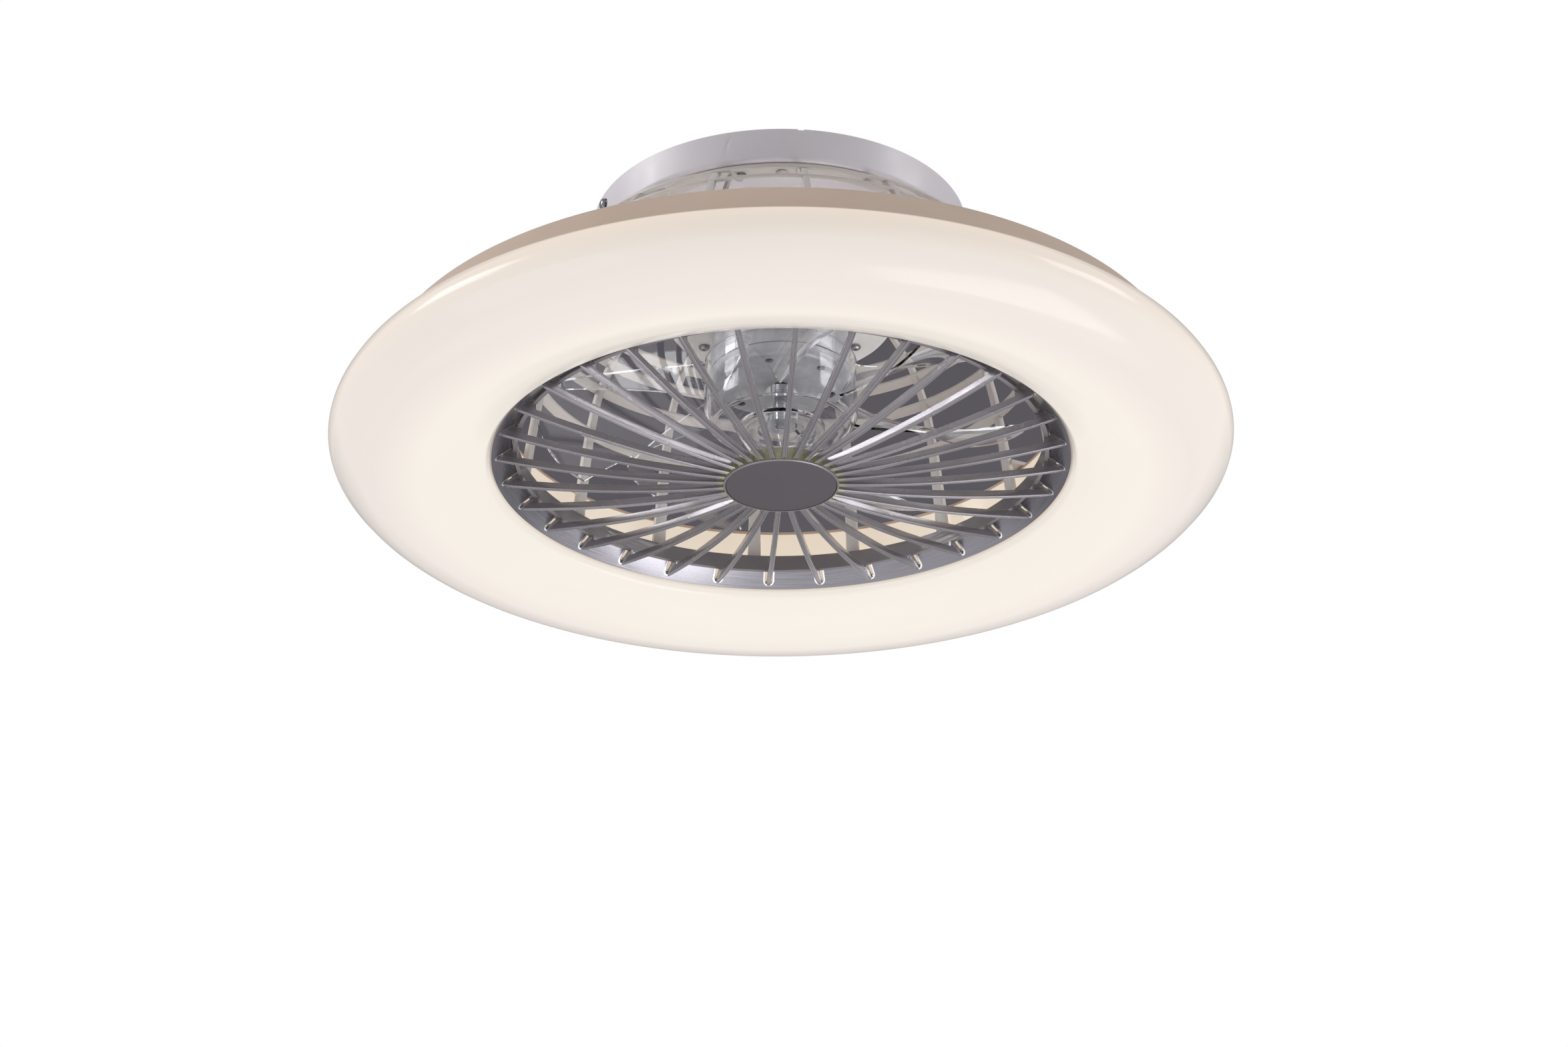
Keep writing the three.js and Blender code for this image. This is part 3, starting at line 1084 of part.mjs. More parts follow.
// The dark disc set into the grille's hub.
const CAP_DISC_RADIUS = GRILLE_HUB_RADIUS - GRILLE_HUB_WALL - CLEARANCE;
const CAP_DISC_Z = GRILLE_HUB_Z + HUB_DISC_SINK;
piece("grille_cap", join([
  disc(CAP_DISC_RADIUS, CAP_DISC_Z, CAP_DISC_Z + HUB_DISC_THICKNESS),
  disc(HUB_DISC_PEG, CAP_DISC_Z + 1,
    GRILLE_HUB_Z + GRILLE_HUB_HEIGHT - GRILLE_HUB_WALL - CLEARANCE, 0, POST_SEGMENTS),
]), DARK_GREY);

// The brushed ring round the grille, slotted where each spoke's end comes through.
function trimRing() {
  const innerRadius = COLLAR_OUTER + 2 * CLEARANCE;
  const outerAt = (z) => flatsOf(wallRadiusAt(z), FINE_SEGMENTS) - CLEARANCE;
  const shell = turned([
    [innerRadius, TRIM_SLOPE_TOP_Z],
    [outerAt(TRIM_BOTTOM_Z), TRIM_BOTTOM_Z],
    [outerAt(TRIM_SKIRT_Z), TRIM_SKIRT_Z],
    [outerAt(TRIM_SKIRT_Z) - TRIM_THICKNESS, TRIM_SKIRT_Z],
    [outerAt(TRIM_BOTTOM_Z) - TRIM_THICKNESS, TRIM_BOTTOM_Z + 2 * TRIM_THICKNESS],
    [innerRadius, TRIM_SLOPE_TOP_Z + TRIM_THICKNESS],
  ], 2 * SPOKES);
  const slotInner = innerRadius - 1;
  const slotOuter = TIP_RADIUS + TRIM_SLOT_PLAY;
  const slots = turns(SPOKES, SPOKE_TURN).map((turn) =>
    onCircle(block(slotOuter - slotInner, TRIM_SLOT_WIDTH, TRIM_BOTTOM_Z - 1,
      TRIM_SLOPE_TOP_Z + 4), (slotOuter + slotInner) / 2, turn));
  return cut(flatTowards(shell, SPOKE_TURN, 2 * SPOKES), slots);
}

piece("trim_ring", trimRing(), SILVER);

export default fan;
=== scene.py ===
"""The looks of a flush ceiling fan with a ring light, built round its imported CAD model.

Sizes in the drawings are millimetres below and round the axis, as in the CAD source.
"""

import math

import bmesh
import bpy
from mathutils import Matrix, Vector


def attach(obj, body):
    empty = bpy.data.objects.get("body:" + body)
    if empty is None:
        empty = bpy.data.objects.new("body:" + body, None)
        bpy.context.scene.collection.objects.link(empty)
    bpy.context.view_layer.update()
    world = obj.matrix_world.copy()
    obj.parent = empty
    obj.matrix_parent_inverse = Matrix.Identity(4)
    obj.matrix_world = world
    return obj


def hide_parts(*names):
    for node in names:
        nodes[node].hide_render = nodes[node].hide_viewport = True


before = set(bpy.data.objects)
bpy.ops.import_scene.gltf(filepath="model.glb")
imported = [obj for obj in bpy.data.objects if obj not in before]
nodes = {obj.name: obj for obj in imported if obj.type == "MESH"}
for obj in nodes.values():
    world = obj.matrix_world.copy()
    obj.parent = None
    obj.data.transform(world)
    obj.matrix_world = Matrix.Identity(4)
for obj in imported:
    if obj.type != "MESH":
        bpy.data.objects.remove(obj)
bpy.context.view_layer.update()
scene = bpy.context.scene

MM = 0.001
FULL_TURN = 2 * math.pi
CENTRE = (0, 0, 0)
UP = (0, 0, 1)
FINE = 256  # steps round the light ring and the brushed ring
MEDIUM = 160  # steps round the canopy, the housing, the cage and the hub
SMALL = 96  # steps round the motor, the clear cup and its cap


# ---------------------------------------------------------------- camera

VIEW_TILT = 0.456349  # radians that the camera looks up
VIEW_ROLL = -0.0067133
VIEW_PLACE = (0.00158, -2.06, -1.2378)
VIEW_LENS = 79.79
camera_data = bpy.data.cameras.new("camera")
camera_data.sensor_width = 36
camera_data.lens = VIEW_LENS
camera = bpy.data.objects.new("camera", camera_data)
scene.collection.objects.link(camera)
camera.matrix_world = (
    Matrix.Translation(VIEW_PLACE)
    @ Matrix.Rotation(math.pi / 2 + VIEW_TILT, 4, "X")
    @ Matrix.Rotation(VIEW_ROLL, 4, "Z")
)
scene.camera = camera


# ---------------------------------------------------------------- finishes


def tone(red, green, blue):
    """A colour given as it looks on a screen, 0 to 255, as the shader wants it."""
    shares = [c / 255 for c in (red, green, blue)]
    return (
        *[s / 12.92 if s <= 0.04045 else ((s + 0.055) / 1.055) ** 2.4 for s in shares],
        1,
    )


class Finish:
    """A material and the few moves by which its nodes are wired."""

    def __init__(self, name, metallic=0.0, ior=1.5, coat=0.0, coat_roughness=0.1):
        self.material = bpy.data.materials.new(name)
        self.material.use_nodes = True
        self.nodes = self.material.node_tree.nodes
        self.shader = self.nodes["Principled BSDF"]
        self.set("Metallic", metallic)
        self.set("IOR", ior)
        self.set("Coat Weight", coat)
        self.set("Coat Roughness", coat_roughness)
        self.place = self.nodes.new("ShaderNodeTexCoord").outputs["Object"]

    def set(self, socket, value):
        self.shader.inputs[socket].default_value = value

    def wire(self, source, target):
        self.material.node_tree.links.new(source, target)

    def feed(self, socket, source):
        self.wire(source, self.shader.inputs[socket])

    def node(self, kind, inputs=(), **settings):
        made = self.nodes.new(kind)
        for key, value in settings.items():
            setattr(made, key, value)
        for key, value in dict(inputs).items():
            if isinstance(value, bpy.types.NodeSocket):
                self.wire(value, made.inputs[key])
            else:
                made.inputs[key].default_value = value
        return made

    def worked_out(self, operation, a, b=0.0):
        return self.node("ShaderNodeMath", {0: a, 1: b}, operation=operation).outputs[0]

    def length(self, x, y):
        squares = [self.worked_out("MULTIPLY", side, side) for side in (x, y)]
        return self.worked_out("SQRT", self.worked_out("ADD", *squares))

    def noise(self, scale, detail=3.0, stretch=None, place=None):
        """Cloudy grain, so many to the metre, drawn out where stretch says so."""
        place = place or self.place
        if stretch:
            place = self.node(
                "ShaderNodeMapping", {"Vector": place, "Scale": stretch}
            ).outputs[0]
        return self.node(
            "ShaderNodeTexNoise", {"Vector": place, "Scale": scale, "Detail": detail}
        ).outputs["Fac"]

    def between(self, source, low, high, start=0.3, end=0.7):
        """The source's run from start to end, as a number from low to high."""
        return self.node(
            "ShaderNodeMapRange",
            {
                "Value": source,
                "From Min": start,
                "From Max": end,
                "To Min": low,
                "To Max": high,
            },
        ).outputs["Result"]

    def ramp(self, source, stops):
        """Colours at shares of the source's run."""
        made = self.node("ShaderNodeValToRGB", {"Fac": source})
        elements = made.color_ramp.elements
        while len(elements) < len(stops):
            elements.new(0.5)
        for element, (share, colour) in zip(elements, stops):
            element.position = share
            element.color = colour
        return made.outputs["Color"]

    def mix(self, share, a, b):
        return self.node(
            "ShaderNodeMix",
            {"Factor": share, 6: a, 7: b},
            data_type="RGBA",
            clamp_factor=True,
        ).outputs[2]

    def parts(self):
        """The radius, the angle and the level of a point of the piece."""
        x, y, z = self.node("ShaderNodeSeparateXYZ", {"Vector": self.place}).outputs
        return self.length(x, y), self.worked_out("ARCTAN2", y, x), z

    def relief(self, height, strength, distance):
        bump = self.node(
            "ShaderNodeBump",
            {"Height": height, "Strength": strength, "Distance": distance},
        )
        self.feed("Normal", bump.outputs["Normal"])

    def gloss(self, low, high):
        self.feed("Roughness", self.between(self.noise(60), low, high))


def moulded(name, light, dark, rough=(0.38, 0.5), grain=900, relief=0.12, **shader):
    """Moulded or painted skin: its tone drifts a little and it has a fine texture."""
    skin = Finish(name, **shader)
    clouds = skin.noise(14, 4)
    skin.feed("Base Color", skin.ramp(clouds, [(0.3, dark), (0.7, light)]))
    skin.gloss(*rough)
    skin.relief(skin.noise(grain, 2), relief, 0.0002)
    return skin.material


def worn(name, light, dark, edge, rough, **shader):
    """Lacquer over a metallic ground, rubbed a little lighter along its edges."""
    skin = Finish(name, **shader)
    flakes = skin.ramp(skin.noise(1800, 1), [(0.35, dark), (0.65, light)])
    clouds = skin.between(skin.noise(20, 4), 0.0, 0.35)
    toned = skin.mix(clouds, flakes, dark)
    edges = skin.node("ShaderNodeNewGeometry").outputs["Pointiness"]
    rubbed = skin.between(edges, 0.0, 0.6, 0.51, 0.58)
    skin.feed("Base Color", skin.mix(rubbed, toned, edge))
    skin.gloss(*rough)
    skin.relief(skin.noise(700, 2), 0.1, 0.0002)
    return skin.material


SPOKES = 32
SPOKE_TURN = 2.99  # degrees to the first spoke
SLOT_WIDTH = 5.8
SLOT_END = 189.2
POLISH_AND_HIGHLIGHT = (0.7, 1.1)  # how far from a slot's edge the polish and the painted highlight begin and end


def brushed_ring():
    """Bright metal brushed round the axis, polished along the edges of its slots, where a
    highlight is painted too.
    """
    skin = Finish("brushed_trim", metallic=0.9, ior=1.6)
    radius, angle, level = skin.parts()
    along = skin.node(
        "ShaderNodeCombineXYZ",
        {
            "X": skin.worked_out("MULTIPLY", radius, 900.0),
            "Y": skin.worked_out("MULTIPLY", angle, 2.2),
            "Z": skin.worked_out("MULTIPLY", level, 900.0),
        },
    ).outputs[0]
    scratches = skin.noise(2.4, 5, place=along)
    brushed = skin.ramp(
        scratches, [(0.3, tone(126, 124, 130)), (0.7, tone(144, 142, 149))]
    )
    # How far a point lies from the middle line of its slot, whose outer end is round.
    turn = FULL_TURN / SPOKES
    first = math.radians(SPOKE_TURN)
    swing = skin.worked_out(
        "PINGPONG", skin.worked_out("SUBTRACT", angle, first), turn / 2
    )
    aside = skin.worked_out("MULTIPLY", swing, radius)
    half = SLOT_WIDTH / 2
    past = skin.worked_out(
        "MAXIMUM", skin.worked_out("SUBTRACT", radius, (SLOT_END - half) * MM)
    )
    away = skin.length(aside, past)
    near, far = [(half + reach) * MM for reach in POLISH_AND_HIGHLIGHT]
    edge = skin.between(away, 1.0, 0.0, near, far)
    # Painted highlight: the colour turns near white along each slot's edge, where the
    # metal is also smoother.
    skin.feed("Base Color", skin.mix(edge, brushed, tone(246, 246, 250)))
    smooth = skin.between(scratches, 0.2, 0.34)
    polish = skin.between(edge, 1.0, 0.5, 0.0, 1.0)
    skin.feed("Roughness", skin.worked_out("MULTIPLY", smooth, polish))
    ridge = skin.worked_out("MULTIPLY", edge, 4.0)
    skin.relief(skin.worked_out("ADD", scratches, ridge), 0.12, 0.0002)
    return skin.material


# Radii and levels, in metres, over which a tone passes to the next one.
HUB_GREEN_REFLECTION = (0.0392, 0.044)
HUB_SIDE = (-0.1985, -0.1975)
COLLAR_RADIUS = (0.1745, 0.1752)
COLLAR_LEVEL = (-0.1778, -0.1774)
UNDERSIDE = (0.24, 0.3)
SEAM = (-0.186, -0.1595)
INNER_WALL = (-0.186, -0.143)
INNER_LIP = (0.1926, 0.1942)
CHIP_FACE = (-0.1457, -0.1453)


def grille_paint():
    """Metallic grey paint with a painted green reflection on the hub's side, dull and
    darkened by painted shade on the collar.
    """
    skin = Finish("grille_grey", metallic=0.5, coat=0.5, coat_roughness=0.08)
    radius, _, level = skin.parts()
    clouds = skin.noise(24, 4)
    toned = skin.ramp(clouds, [(0.3, tone(130, 126, 131)), (0.7, tone(140, 136, 141))])
    # Painted reflection: a green tinge on the hub's side.
    hub = skin.worked_out(
        "MULTIPLY",
        skin.between(radius, 0.7, 0.0, *HUB_GREEN_REFLECTION),
        skin.between(level, 0.0, 1.0, *HUB_SIDE),
    )
    green_reflected = skin.mix(hub, toned, tone(166, 168, 132))
    # Painted shade: the collar's inner wall is darker in colour, and also rougher.
    collar = skin.worked_out(
        "MULTIPLY",
        skin.between(radius, 0.0, 1.0, *COLLAR_RADIUS),
        skin.between(level, 0.0, 1.0, *COLLAR_LEVEL),
    )
    skin.feed("Base Color", skin.mix(collar, green_reflected, tone(126, 120, 122)))
    gloss = skin.between(skin.noise(60), 0.2, 0.3)
    dulled = skin.worked_out("MULTIPLY", collar, 0.4)
    skin.feed("Roughness", skin.worked_out("ADD", gloss, dulled))
    skin.relief(skin.noise(120, 2), 0.02, 0.0002)
    return skin.material


def spangled(name, light, dark, metallic=0.75):
    """Zinc-coated sheet with its large crystals and faint rolling marks."""
    skin = Finish(name, metallic=metallic)
    crystals = skin.node(
        "ShaderNodeTexVoronoi", {"Vector": skin.place, "Scale": 160.0}
    ).outputs["Color"]
    shade = skin.node("ShaderNodeRGBToBW", {"Color": crystals}).outputs[0]
    skin.feed("Base Color", skin.ramp(shade, [(0.2, dark), (0.8, light)]))
    skin.feed("Roughness", skin.between(shade, 0.3, 0.48, 0.2, 0.8))
    skin.relief(skin.noise(260, 2, stretch=(1, 12, 1)), 0.1, 0.0002)
    return skin.material


def striped(name, light, dark, lines):
    """Fine parallel lines: sheets stacked in a core, or wire wound side by side."""
    skin = Finish(name, metallic=0.8)
    wave = skin.node(
        "ShaderNodeTexWave",
        {"Vector": skin.place, "Scale": lines, "Distortion": 0.4, "Detail": 1.0},
        bands_direction="Z",
    ).outputs["Fac"]
    skin.feed("Base Color", skin.ramp(wave, [(0.15, dark), (0.6, light)]))
    skin.gloss(0.35, 0.5)
    skin.relief(wave, 0.35, 0.0003)
    return skin.material


def clear_moulding():
    """Clear plastic with the faint flow marks and waviness of a large moulding."""
    skin = Finish("clear_plastic", ior=1.14, coat=0.6, coat_roughness=0.03)
    skin.set("Transmission Weight", 1.0)
    flow = skin.noise(26, 3, stretch=(1, 1, 3))
    skin.feed(
        "Base Color",
        skin.ramp(flow, [(0.3, tone(244, 245, 247)), (0.7, tone(251, 251, 252))]),
    )
    skin.feed("Roughness", skin.between(skin.noise(70), 0.0, 0.03))
    skin.relief(skin.noise(45, 2), 0.04, 0.0006)
    return skin.material


GLOW = 0.7  # how strongly the opal plastic shines


def opal_diffuser():
    """Glossy opal plastic lit from inside, cooler towards its edges and warm within, its
    glow darkened by painted shade where it is seen edge-on.
    """
    skin = Finish("opal_diffuser", ior=1.49, coat=0.04, coat_roughness=0.14)
    radius, _, level = skin.parts()
    across = skin.ramp(
        skin.between(radius, 0.0, 1.0, *UNDERSIDE),
        [
            (0.0, tone(242, 236, 225)),
            (0.5, tone(232, 224, 217)),
            (1.0, tone(240, 232, 223)),
        ],
    )
    seam = skin.between(level, 0.0, 0.9, *SEAM)
    face = skin.mix(seam, across, tone(249, 230, 210))
    inside = skin.ramp(
        skin.between(level, 0.0, 1.0, *INNER_WALL),
        [
            (0.0, tone(226, 202, 180)),
            (0.5, tone(252, 238, 216)),
            (1.0, tone(246, 230, 208)),
        ],
    )
    outside = skin.between(radius, 0.0, 1.0, *INNER_LIP)
    shine = skin.mix(outside, inside, face)
    clouds = skin.between(skin.noise(9, 3), 0.0, 0.25)
    drifted = skin.mix(clouds, shine, tone(240, 230, 222))
    specks = skin.node(
        "ShaderNodeTexVoronoi", {"Vector": skin.place, "Scale": 90.0}
    ).outputs["Distance"]
    glint = skin.between(specks, 0.5, 0.0, 0.0, 0.035)
    # Painted shade: the glow is dimmed where the surface is seen edge-on, darkening its
    # outline.
    facing = skin.node("ShaderNodeLayerWeight", {"Blend": 0.35}).outputs["Facing"]
    rim = skin.between(facing, 0.0, 1.0, 0.5, 0.9)
    edge_on_shaded = skin.mix(rim, drifted, tone(130, 122, 118))
    skin.feed("Emission Color", skin.mix(glint, edge_on_shaded, tone(255, 252, 246)))
    skin.set("Emission Strength", GLOW)
    skin.feed("Base Color", skin.mix(0.2, tone(96, 92, 90), drifted))
    skin.set("Specular IOR Level", 0.18)
    skin.feed("Roughness", skin.between(skin.noise(40), 0.14, 0.22))
    skin.relief(skin.noise(320, 2), 0.04, 0.0002)
    return skin.material


def chip_board():
    """White printed board; its light chips, which stand lower, are yellow."""
    skin = Finish("board_white")
    _, _, level = skin.parts()
    chips = skin.between(level, 1.0, 0.0, *CHIP_FACE)
    lacquer = skin.ramp(
        skin.noise(120, 3), [(0.3, tone(226, 226, 220)), (0.7, tone(240, 240, 236))]
    )
    skin.feed("Base Color", skin.mix(chips, lacquer, tone(232, 200, 96)))
    skin.gloss(0.35, 0.5)
    skin.relief(skin.noise(600, 2), 0.1, 0.0002)
    return skin.material


FINISHES = {
    "zinc_sheet": spangled("zinc_sheet", tone(196, 198, 202), tone(158, 160, 166)),
    "canopy_paint": moulded(
        "canopy_paint", tone(228, 223, 228), tone(221, 216, 222), (0.34, 0.44)
    ),
    "housing_white": moulded(
        "housing_white", tone(238, 236, 234), tone(230, 228, 227), (0.36, 0.46)
    ),
    "driver_white": moulded("driver_white", tone(224, 224, 220), tone(212, 212, 208)),
    "black_plastic": moulded("black_plastic", tone(50, 50, 52), tone(38, 38, 40)),
    "board_green": moulded("board_green", tone(52, 112, 74), tone(36, 88, 58)),
    "motor_metal": spangled(
        "motor_metal", tone(206, 206, 210), tone(192, 192, 197), 0.2
    ),
    "screw_steel": worn(
        "screw_steel",
        tone(168, 168, 172),
        tone(140, 140, 145),
        tone(214, 214, 218),
        (0.16, 0.28),
        metallic=0.95,
    ),
    "lamination": striped("lamination", tone(150, 152, 156), tone(96, 98, 102), 300),
    "copper": striped("copper", tone(196, 116, 68), tone(140, 76, 42), 220),
    "magnet": moulded("magnet", tone(70, 70, 74), tone(56, 56, 60), metallic=0.3),
    "cage_grey": moulded(
        "cage_grey", tone(216, 210, 205), tone(206, 200, 196), (0.4, 0.52), 300, 0.06
    ),
    # Painted light and shade: the pan is white, and this darker, warm beige stands for
    # the diffuser's glow and the shade on it.
    "pan_beige": moulded(
        "pan_beige", tone(219, 196, 176), tone(211, 188, 168), (0.4, 0.52)
    ),
    "rubber_black": moulded(
        "rubber_black", tone(46, 46, 47), tone(34, 34, 35), (0.55, 0.7)
    ),
    "cable_grey": moulded("cable_grey", tone(206, 206, 203), tone(192, 192, 189)),
    "grille_grey": grille_paint(),
    "dark_grey": worn(
        "dark_grey",
        tone(84, 80, 85),
        tone(76, 72, 77),
        tone(112, 108, 114),
        (0.42, 0.55),
        metallic=0.2,
    ),
    "brushed_trim": brushed_ring(),
    "clear_plastic": clear_moulding(),
    "opal": opal_diffuser(),
    "board_white": chip_board(),
}


# ---------------------------------------------------------------- making


def drawn(points, closed=True):
    """A section standing on the X axis. A third number rounds that corner off."""
    bm = bmesh.new()
    corners = [bm.verts.new((p[0] * MM, 0, p[1] * MM)) for p in points]
    following = corners[1:] + (corners[:1] if closed else [])
    for a, b in zip(corners, following):
        bm.edges.new((a, b))
    for corner, point in zip(corners, points):
        if len(point) > 2:
            bmesh.ops.bevel(
                bm,
                geom=[corner],
                offset=point[2] * MM,
                offset_type="OFFSET",
                segments=6,
                profile=0.5,
                affect="VERTICES",
                material=-1,
                clamp_overlap=True,
            )
    return bm


def mended(bm):
    """Seams and poles closed, faces outwards."""
    bmesh.ops.remove_doubles(bm, verts=bm.verts, dist=1e-6)
    bmesh.ops.recalc_face_normals(bm, faces=bm.faces)
    return bm


def turned(points, steps=MEDIUM, closed=True):
    """A section turned round the axis. One that starts and ends on the axis is open."""
    bm = drawn(points, closed)
    bmesh.ops.spin(
        bm,
        geom=bm.verts[:] + bm.edges[:],
        cent=CENTRE,
        axis=UP,
        dvec=CENTRE,
        angle=FULL_TURN,
        steps=steps,
        use_merge=True,
        use_normal_flip=False,
        use_duplicate=False,
    )
    return mended(bm)


def drawn_out(bm, x, y):
    """A closed section drawn out to a bar."""
    bmesh.ops.edgeloop_fill(bm, edges=bm.edges[:])
    raised = bmesh.ops.extrude_face_region(bm, geom=bm.faces[:])["geom"]
    far = [v for v in raised if isinstance(v, bmesh.types.BMVert)]
    bmesh.ops.translate(bm, vec=(x * MM, y * MM, 0), verts=far)
    return mended(bm)


def bar(start, end, width, low, high):
    """A block along the X axis."""
    bm = bmesh.new()
    bmesh.ops.create_cube(bm, size=1)
    size = ((end - start) * MM, width * MM, (high - low) * MM)
    bmesh.ops.scale(bm, vec=size, verts=bm.verts)
    return moved(bm, (start + end) / 2, 0, (low + high) / 2)


def rounded(bm, chosen, size, segments):
    """The chosen edges rounded off."""
    bmesh.ops.bevel(
        bm,
        geom=[e for e in bm.edges if chosen(e)],
        offset=size * MM,
        offset_type="OFFSET",
        segments=segments,
        profile=0.5,
        affect="EDGES",
        material=-1,
        clamp_overlap=True,
    )
    return bm


def peg(radius, low, high, x=0, y=0, steps=24):
    """An upright round bar, for holes and posts."""
    bm = turned([(0, low), (radius, low), (radius, high), (0, high)], steps, False)
    return moved(bm, x, y)


def between(share, start, end):
    return start + (end - start) * share


def moved(bm, x, y, z=0):
    bmesh.ops.translate(bm, vec=(x * MM, y * MM, z * MM), verts=bm.verts)
    return bm


def swung(bm, degrees, axis="Z"):
    bmesh.ops.rotate(
        bm,
        verts=bm.verts,
        cent=CENTRE,
        matrix=Matrix.Rotation(math.radians(degrees), 3, axis),
    )
    return bm


def gathered(*shapes):
    """Several shapes in one, side by side."""
    first, *rest = shapes
    for bm in rest:
        mesh = bpy.data.meshes.new("gathered")
        bm.to_mesh(mesh)
        first.from_mesh(mesh)
        bpy.data.meshes.remove(mesh)
        bm.free()
    return first


def ring_of(make, count, first=0.0):
    """Copies of one shape round the axis, the first at that many degrees."""
    made = make()
    turns = [first + i * 360 / count for i in range(count)]
    placed = gathered(*[swung(made.copy(), turn) for turn in turns])
    made.free()
    return placed


def worked(bm, tool, operation="DIFFERENCE"):
    """A closed shape cut by, or joined to, the closed shapes of the tool."""
    held = []
    for shape in (bm, tool):
        obj = bpy.data.objects.new("held", bpy.data.meshes.new("held"))
        shape.to_mesh(obj.data)
        scene.collection.objects.link(obj)
        held.append(obj)
    modifier = held[0].modifiers.new("work", "BOOLEAN")
    modifier.operation = operation
    modifier.object = held[1]
    modifier.solver = "MANIFOLD"
    bm.clear()
    bm.from_object(held[0], bpy.context.evaluated_depsgraph_get())
    for obj in held:
        mesh = obj.data
        bpy.data.objects.remove(obj)
        bpy.data.meshes.remove(mesh)
    tool.free()
    return bm


def joined(bm, *others):
    for other in others:
        bm = worked(bm, other, "UNION")
    return bm


CREASE = math.radians(32)  # edges that turn more than this stay sharp


def piece(name, bm, slot, replaced, body="fixture"):
    """Makes the shape a piece of the fan that stands for one CAD node."""
    mesh = bpy.data.meshes.new(name)
    bm.to_mesh(mesh)
    bm.free()
    mesh.polygons.foreach_set("use_smooth", [True] * len(mesh.polygons))
    mesh.set_sharp_from_angle(angle=CREASE)
    mesh.materials.append(FINISHES[slot])
    obj = bpy.data.objects.new(name, mesh)
    scene.collection.objects.link(obj)
    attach(obj, body)
    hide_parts(replaced)
    return obj


# ---------------------------------------------------------------- canopy and housing

SCREW_HOLE = 2.35  # radius of every screw's hole
POST_TURN = 31  # degrees to the first of the housing's three posts
POST_CIRCLE = 60
POST_RADIUS = 6
FLANGE_SCREW_CIRCLE = 116
MOTOR_BOLT_CIRCLE = 30
LUG_TURN = 28.8  # degrees to the first of the cage's four lugs
LUG_CIRCLE = 194.5
SIDE_SCREWS = 2
SIDE_SCREW_TURN = 201.6
SIDE_SCREW_Z = -8.5
SIDE_SCREW_SEAT = 127.97  # radius at which its head sits
SIDE_HOLE = (3.68, 5.29)  # half the height and half the width of the oval
CANOPY_SIDE = 127  # the canopy's radius where its side is worked
NOTCH_TURN = 276.5
DENT_TURNS = (254.5, 261.5)
DENT_RADII = (1.1, 0.9)
DENT_LEVEL = -10
LEAD_TURN = 253.8  # the rib that the light's lead follows
LEAD_HOLE = 3.5
LEAD_HOLE_CIRCLE = 115.3
LEAD_OFFSET = 7.55  # it runs beside that rib


def canopy():
    """The round cover under the ceiling, a little narrower at its floor."""
    shell = turned(
        [
            (9, -23.5),
            (125.6, -23.5, 3),
            (128, -0.8, 0.5),
            (126.4, -0.8, 0.5),
            (124, -21.9, 1.6),
            (9, -21.9),
        ]
    )
    # Oval holes that show the side screws, the nick in the upper edge, the weld dents
    # and the holes in the floor.
    ovals = ring_of(side_hole, SIDE_SCREWS, SIDE_SCREW_TURN)
    notch = swung(moved(bar(-3, 3, 4, -0.9, 1.2), CANOPY_SIDE, 0, -0.8), NOTCH_TURN)
    dents = gathered(
        *[swung(weld_dent(r), turn) for r, turn in zip(DENT_RADII, DENT_TURNS)]
    )
    through = (-26, -19)  # from below the floor to above it
    bolts = ring_of(lambda: peg(SCREW_HOLE, *through, POST_CIRCLE), 3, POST_TURN)
    flange = ring_of(
        lambda: peg(SCREW_HOLE, *through, FLANGE_SCREW_CIRCLE), 3, POST_TURN
    )
    lead = swung(peg(LEAD_HOLE, *through, LEAD_HOLE_CIRCLE, LEAD_OFFSET), LEAD_TURN)
    return worked(shell, gathered(ovals, notch, dents, bolts, flange, lead))


def weld_dent(radius):
    """A shallow round dent in the canopy's side, left by a spot weld."""
    dent = bmesh.new()
    bmesh.ops.create_uvsphere(dent, u_segments=24, v_segments=16, radius=radius * MM)
    bmesh.ops.scale(dent, vec=(0.5, 1, 1), verts=dent.verts)
    return moved(dent, CANOPY_SIDE + 0.45, 0, DENT_LEVEL)


def side_hole():
    """The oval hole through the canopy's side that shows a side screw."""
    hole = peg(1, -6, 6)
    bmesh.ops.scale(hole, vec=(*SIDE_HOLE, 1), verts=hole.verts)
    return moved(swung(hole, 90, "Y"), CANOPY_SIDE - 0.5, 0, SIDE_SCREW_Z)


def housing():
    """The round box over the motor, with the posts for its long bolts."""
    shell = turned(
        [
            (8, -76),
            (77, -76, 4),
            (77, -23.85, 0.4),
            (74.8, -23.85, 0.4),
            (74.8, -73.8, 2),
            (8, -73.8),
        ]
    )
    posts = ring_of(
        lambda: peg(POST_RADIUS, -75, -23.85, POST_CIRCLE, 0, 32), 3, POST_TURN
    )
    through = ring_of(lambda: peg(SCREW_HOLE, -80, -20, POST_CIRCLE), 3, POST_TURN)
    motor = ring_of(lambda: peg(SCREW_HOLE, -80, -70, MOTOR_BOLT_CIRCLE), 3)
    return worked(joined(shell, posts), gathered(through, motor))


piece("canopy", canopy(), "canopy_paint", "canopy_shell")
piece("housing", housing(), "housing_white", "motor_housing")


# ---------------------------------------------------------------- screws


